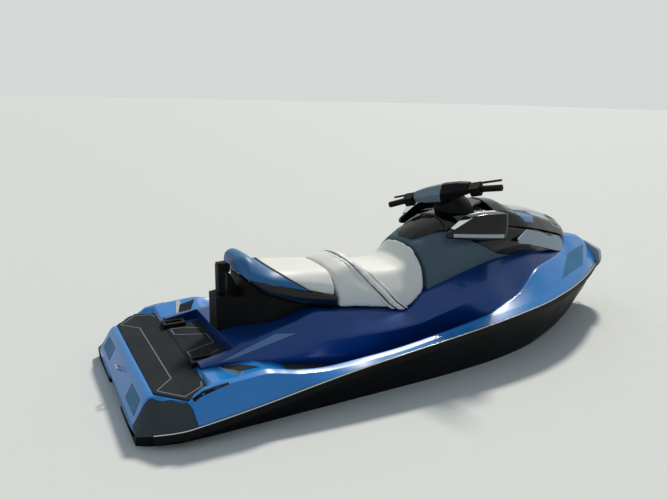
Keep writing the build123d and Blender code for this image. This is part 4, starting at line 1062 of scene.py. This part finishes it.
# %% Driver's seat
DRIVER_SEAT = [
    # x, low_y, low_z, side_y, side_z, top_y, top_z, crown_z
    (1101, 250, 362, 246, 440, 165, 540, 552),
    (1200, 262, 352, 252, 430, 160, 560, 582),
    (1330, 278, 334, 262, 400, 165, 505, 532),
    (1500, 300, 312, 268, 390, 170, 496, 516),
    (1585, 285, 345, 262, 430, 160, 520, 532),
    (1644, 270, 392, 252, 500, 138, 612, 628),
]
DRIVER_RADII = [0, 6, 40, 45, 50]
driver = loft("driver_seat_cover", *seat_rings(DRIVER_SEAT, DRIVER_RADII, -2), 8.0)
dress(stuffed(driver, 2.5, 9, 5.0), vinyl, "craft", ["driver_seat"])

# %% Bolster
AFT_LINE = np.array([(1110, 640), (1165, 600), (1215, 530), (1290, 440), (1372, 350), (1440, 296)], float)
FORE_LINE = np.array([(1130, 690), (1225, 640), (1300, 560), (1385, 450), (1470, 352), (1540, 300)], float)
# Name, shares of the way from the aft to the fore line, proud millimetres, node that it stands for
STRIPS = [("aft", 0.0, 0.26, 7, []), ("middle", 0.3, 0.72, 15, ["seat_bolster"]), ("fore", 0.76, 1.0, 7, [])]
SEAMS, SEAM_SHARE = (0.28, 0.74), 0.05


def bolster_slice(name, start, end, proud):
    """The part of the driver's seat, pushed out, that lies between two shares of the bolster's width."""
    low, high = (AFT_LINE + (FORE_LINE - AFT_LINE) * share for share in (start, end))
    slab = loft(name, *seat_rings(DRIVER_SEAT, DRIVER_RADII, proud), 4.0)
    return carved(slab, prism(np.concatenate([high, low[::-1]]), ACROSS, *THROUGH), "INTERSECT")


for name, start, end, proud, nodes in STRIPS:
    strip = bolster_slice(f"seat_bolster_{name}_strip", start, end, proud)
    dress(stuffed(strip, 1.5, 7, 3.0), vinyl, "craft", nodes)
for number, share in enumerate(SEAMS):
    fold = bolster_slice(f"seat_bolster_seam_{number + 1}", share - SEAM_SHARE, share + SEAM_SHARE, 4)
    dress(fold, seam_dark)

# %% [markdown]
# ## Shell of the rear seat
# The rear seat lifts off as one unit, and its foam sits in a glossy black shell with a hem that turns down
# over the body. It could be a sheet with a thickness; one loft whose section steps up between its two hems
# gives the shell and the hems at once, and stays closed.

# %% Shell of the rear seat
SHELL = [
    # x, half width, hem_z, roof_z, top_z
    (628, 196, 540, 544, 556),
    (690, 210, 484, 514, 538),
    (760, 222, 450, 488, 519),
    (900, 241, 404, 436, 476),
    (1000, 250, 384, 400, 448),
    (1088, 254, 362, 366, 425),
]
x, (wide, hem_z, roof_z, top_z) = from_table(SHELL, 10.0)
half = pairs(0, roof_z, wide - 22, roof_z, wide - 20, hem_z, wide - 8, hem_z, wide + 2, (hem_z + top_z) / 2,
             wide + 3, top_z, 0, top_z)
shell = moulding("seat_shell_moulding", x, half, [0, 3, 4, 10, 16, 6, 0], 6.0)
dress(shell, gloss, "rear_seat", ["seat_shell"])

# %% [markdown]
# ## Inlays
# Painted stripes, films and trim panels lie in the mouldings on both sides. As colour alone they would need
# a texture that knows each surface; as thin panels of geometry they have a real edge, and they are cut to
# the four corners that the picture shows. Each is thrown onto its moulding, so it follows every curve. Some
# of them are painted light: silver blades are painted highlights on the shoulders and the pods, a grey band
# is a painted reflection on the pods, and the dark film on the transom is partly painted shade.

# %% Inlays on both sides
def inlay(base, name, corners, toward, material, body="craft", *, cells, proud=1.2):
    """A panel let into the starboard side of a moulding, and its mirror image on the port side."""
    starboard = patch(base, f"{name}_starboard", corners, toward, cells, proud)
    port = mirrored_copy(starboard, f"{name}_port")
    for side in (starboard, port):
        dress(bevel_edges(side, 0.5), material, body)


# %% Inlays of the body and the deck
INWARD, DOWN = (0, 1, -0.5), (0, 0, -1)
inlay(body, "flank_stripe", [(417, -352, 238), (716, -298, 302), (818, -318, 294), (480, -348, 240)],
      INWARD, stripe_blue, cells=(24, 3))
inlay(deck, "gunwale_grip_strip", [(226, -562, 230), (384, -557, 240), (384, -570, 236), (232, -580, 230)],
      (0, 0.3, -1), black, cells=(16, 2))
inlay(deck, "shoulder_pad", [(418, -360, 240), (452, -478, 245), (548, -502, 250), (492, -392, 245)],
      DOWN, mat_foam, cells=(12, 8), proud=3)
# Painted highlight: a silver blade where the sun glints on the fold at the aft end of each shoulder
inlay(deck, "shoulder_painted_highlight", [(404, -372, 240), (446, -530, 250), (470, -520, 250), (414, -372, 240)],
      DOWN, silver, cells=(10, 2), proud=4)
inlay(deck, "bow_inset", [(2865, -213, 453), (3175, -93, 463), (2935, -294, 393), (2590, -414, 368)],
      (-0.1, 0.5, -0.8), inset_blue, cells=(16, 6))
# Partly painted shade: the panel's outline follows panels on the transom, and its dark blue is painted shade,
# because the transom faces away from the sun
inlay(deck, "transom_panel_painted_shade", [(20, -215, 90), (60, -215, 150), (60, -385, 150), (20, -400, 90)],
      (1, 0, -0.3), inset_blue, cells=(8, 10), proud=1.5)

# %% Inlays of the hood and the mirror pods
HOODWARD = (0, 1, -0.6)
inlay(hood, "hood_blue_panel", [(2385, -176, 772), (2560, -160, 730), (2530, -196, 690), (2435, -214, 705)],
      HOODWARD, stripe_blue, "hood", cells=(10, 5))
# Painted highlight: a silver blade where the sun glints along the top edge of each mirror pod
inlay(pod_right, "pod_painted_highlight", [(1950, -232, 790), (2150, -234, 800), (2140, -270, 800), (1985, -246, 795)],
      DOWN, silver, cells=(10, 3), proud=2)
# Painted reflection: a grey band where the glossy lower edge of each mirror pod reflects the sun
inlay(pod_right, "pod_painted_reflection", [(1836, -258, 692), (2140, -347, 682), (2140, -347, 660), (1836, -258, 672)],
      (0.28, 1, 0), hood_grey, cells=(16, 2))
inlay(hood, "hood_side_panel", [(2545, -110, 760), (2765, -76, 700), (2775, -114, 668), (2575, -142, 725)],
      HOODWARD, hood_grey, "hood", cells=(14, 6))
inlay(hood, "hood_inlet_rim", [(2775, -86, 690), (2893, -66, 650), (2896, -106, 600), (2785, -146, 645)],
      HOODWARD, hood_grey, "hood", cells=(12, 6))
inlay(hood, "hood_side_inlet", [(2790, -92, 684), (2876, -76, 652), (2880, -101, 612), (2797, -136, 648)],
      HOODWARD, gloss, "hood", cells=(10, 5), proud=2.6)

# %% Crest and nose of the hood
CREST = [(2400, -126, 790), (2400, 126, 790), (2800, 62, 700), (2800, -62, 700)]
NOSE = [(2822, -56, 690), (2822, 56, 690), (2925, 36, 650), (2925, -36, 650)]
crest = patch(hood, "hood_crest_panel", CREST, DOWN, (20, 14), 2.5)
dress(bevel_edges(crest, 1), hood_grey, "hood")
nose = patch(hood, "hood_nose_panel", NOSE, DOWN, (8, 8), 2.0)
dress(bevel_edges(nose, 1), black, "hood")

# %% [markdown]
# ## Fittings
# The smaller fittings have the right shape in the CAD model already, and only their knife edges give them
# away. Remodelling them would gain little. A merged copy of each gets rounded edges, wider where the real
# moulding is soft, because a rounded edge catches a line of light, and it stands for its node.

# %% Fittings with rounded edges
# Node, finish, slot, width of the rounding in millimetres, steps in it
FITTINGS = [
    ("front_panel_port", panel, "panel_grey", 4, 2),
    ("front_panel_starboard", panel, "panel_grey", 4, 2),
    ("engine_block", iron, "engine_casing", 6, 2),
    ("front_bin", black, "trim_black", 3, 2),
    ("pedestal", black, "trim_black", 22, 5),
    ("pylon", black, "trim_black", 5, 3),
    ("mirror_glass", mirror, "mirror_face", 1, 2),
    ("display", screen, "screen_glass", 3, 2),
    ("steering_column", black, "trim_black", 6, 3),
    ("handlebar", black, "trim_black", 4, 2),
    ("handlebar_pad", pad_grey, "panel_grey", 16, 5),
    ("grips", rubber, "grip_rubber", 4, 3),
    ("switch_housings", black, "trim_black", 10, 4),
    ("levers", black, "trim_black", 3, 2),
    ("platform_mat", mat_foam, "mat_foam", 2, 2),
    ("footwell_mats", mat_foam, "mat_foam", 2, 2),
    ("accessory_bases", black, "trim_black", 4, 2),
    ("tow_eye", steel, "stainless", 1, 2),
    ("bow_eye", steel, "stainless", 1, 2),
    ("sponsons", black, "trim_black", 6, 2),
    ("jet_pump", cast, "pump_aluminium", 2, 2),
    ("impeller", steel, "stainless", 1, 2),
    ("trim_ring", cast, "pump_aluminium", 2, 2),
    ("steering_nozzle", cast, "pump_aluminium", 2, 2),
    ("reverse_bucket", black, "trim_black", 2, 2),
    ("ride_plate", cast, "pump_aluminium", 2, 2),
    ("intake_grate", cast, "pump_aluminium", 2, 2),
]
fitted = {row[0]: softened(*row) for row in FITTINGS}
mat = fitted["platform_mat"]

# %% [markdown]
# ## Cover of the handlebar pad
# The pad over the bar is grey on one half and has a grained black cover on the other. The cover is a copy of
# the pad, 2 mm fuller all round and cut off across the bar, so that it fits the pad wherever that turns.

# %% Cover of the handlebar pad
STEER_REST, STEER_X = radians(25), 1940.0
COVER_PLAN, COVER_HEIGHTS = [(-15, 130), (25, -130), (400, -130), (400, 130)], (500, 1200)
cover = tidy(copy_of(frame["nodes"]["handlebar_pad"], "handlebar_pad_cover"))
fuller = cover.modifiers.new("over the pad", "DISPLACE")
fuller.strength, fuller.mid_level = 2 * MM, 0
settle(cover)
along = np.array([sin(STEER_REST), -cos(STEER_REST)])
across = np.array([cos(STEER_REST), sin(STEER_REST)])
plan = [(STEER_X, 0) + along * out + across * side for out, side in COVER_PLAN]
carved(cover, prism(plan, UPRIGHT, *COVER_HEIGHTS), "INTERSECT")
dress(bevel_edges(cover, 6, 4), black, body_of("handlebar_pad"))

# %% [markdown]
# ## Grooves in the platform mat
# The mat is routed with lines down to a lighter foam. Cutting them out would take hundreds of thin walls; a
# flat strip of the lighter foam, laid on the mat and hardly proud of it, shows the same line. A line that
# lies on one side only gets a mirror image on the other.

# %% Grooves in the platform mat
# Width of a groove, and a height from which its strip is thrown down, in millimetres
GROOVE, MAT_TOP = 5.0, 200
GROOVES = {
    "edge": [(112, -418), (206, -522), (290, -480), (300, -440)],
    "bay": [(112, -418), (196, -330), (196, 330), (112, 418)],
    "channel": [(330, -195), (330, -120), (480, -60), (480, 60), (330, 120), (330, 195)],
    "wing": [(332, -205), (405, -196), (470, -160)],
}
for name, line in GROOVES.items():
    steps = []
    for number, (start, end) in enumerate(zip(line, line[1:])):
        start, end = np.array(start, float), np.array(end, float)
        way = (end - start) / np.linalg.norm(end - start)
        side = np.array([-way[1], way[0]]) * GROOVE / 2
        start, end = start - way * GROOVE / 2, end + way * GROOVE / 2
        corners = [(*corner, MAT_TOP) for corner in (start - side, end - side, end + side, start + side)]
        steps.append(patch(mat, f"groove_{number}", corners, DOWN, (12, 1), 0.4, 0.8))
    groove = joined(f"mat_groove_{name}", *steps)
    dress(groove, mat_line)
    if line[0][1] * line[-1][1] > 0:
        dress(mirrored_copy(groove, f"mat_groove_{name}_port"), mat_line)

# %% [markdown]
# ## Floor
# A plain pale floor at the height of the waterline takes the craft's shadow and hides what lies below that
# line. A curved backdrop would do; a floor so wide that its edge stands at the horizon looks the same from
# every side. It is part of the stage, not of the craft.

# %% Floor
FLOOR_HALF = 140.0
corners = np.array([(-1, -1, 0), (1, -1, 0), (1, 1, 0), (-1, 1, 0)]) * FLOOR_HALF
floor = mesh_object("floor", corners, [(0, 1, 2, 3)])
floor.data.materials.append(finish("matt pale floor", "#d3d8d8", "#d8dcdc", 0.85, level=0.2))
print(f"floor {2 * FLOOR_HALF:.0f} m wide, at height 0")
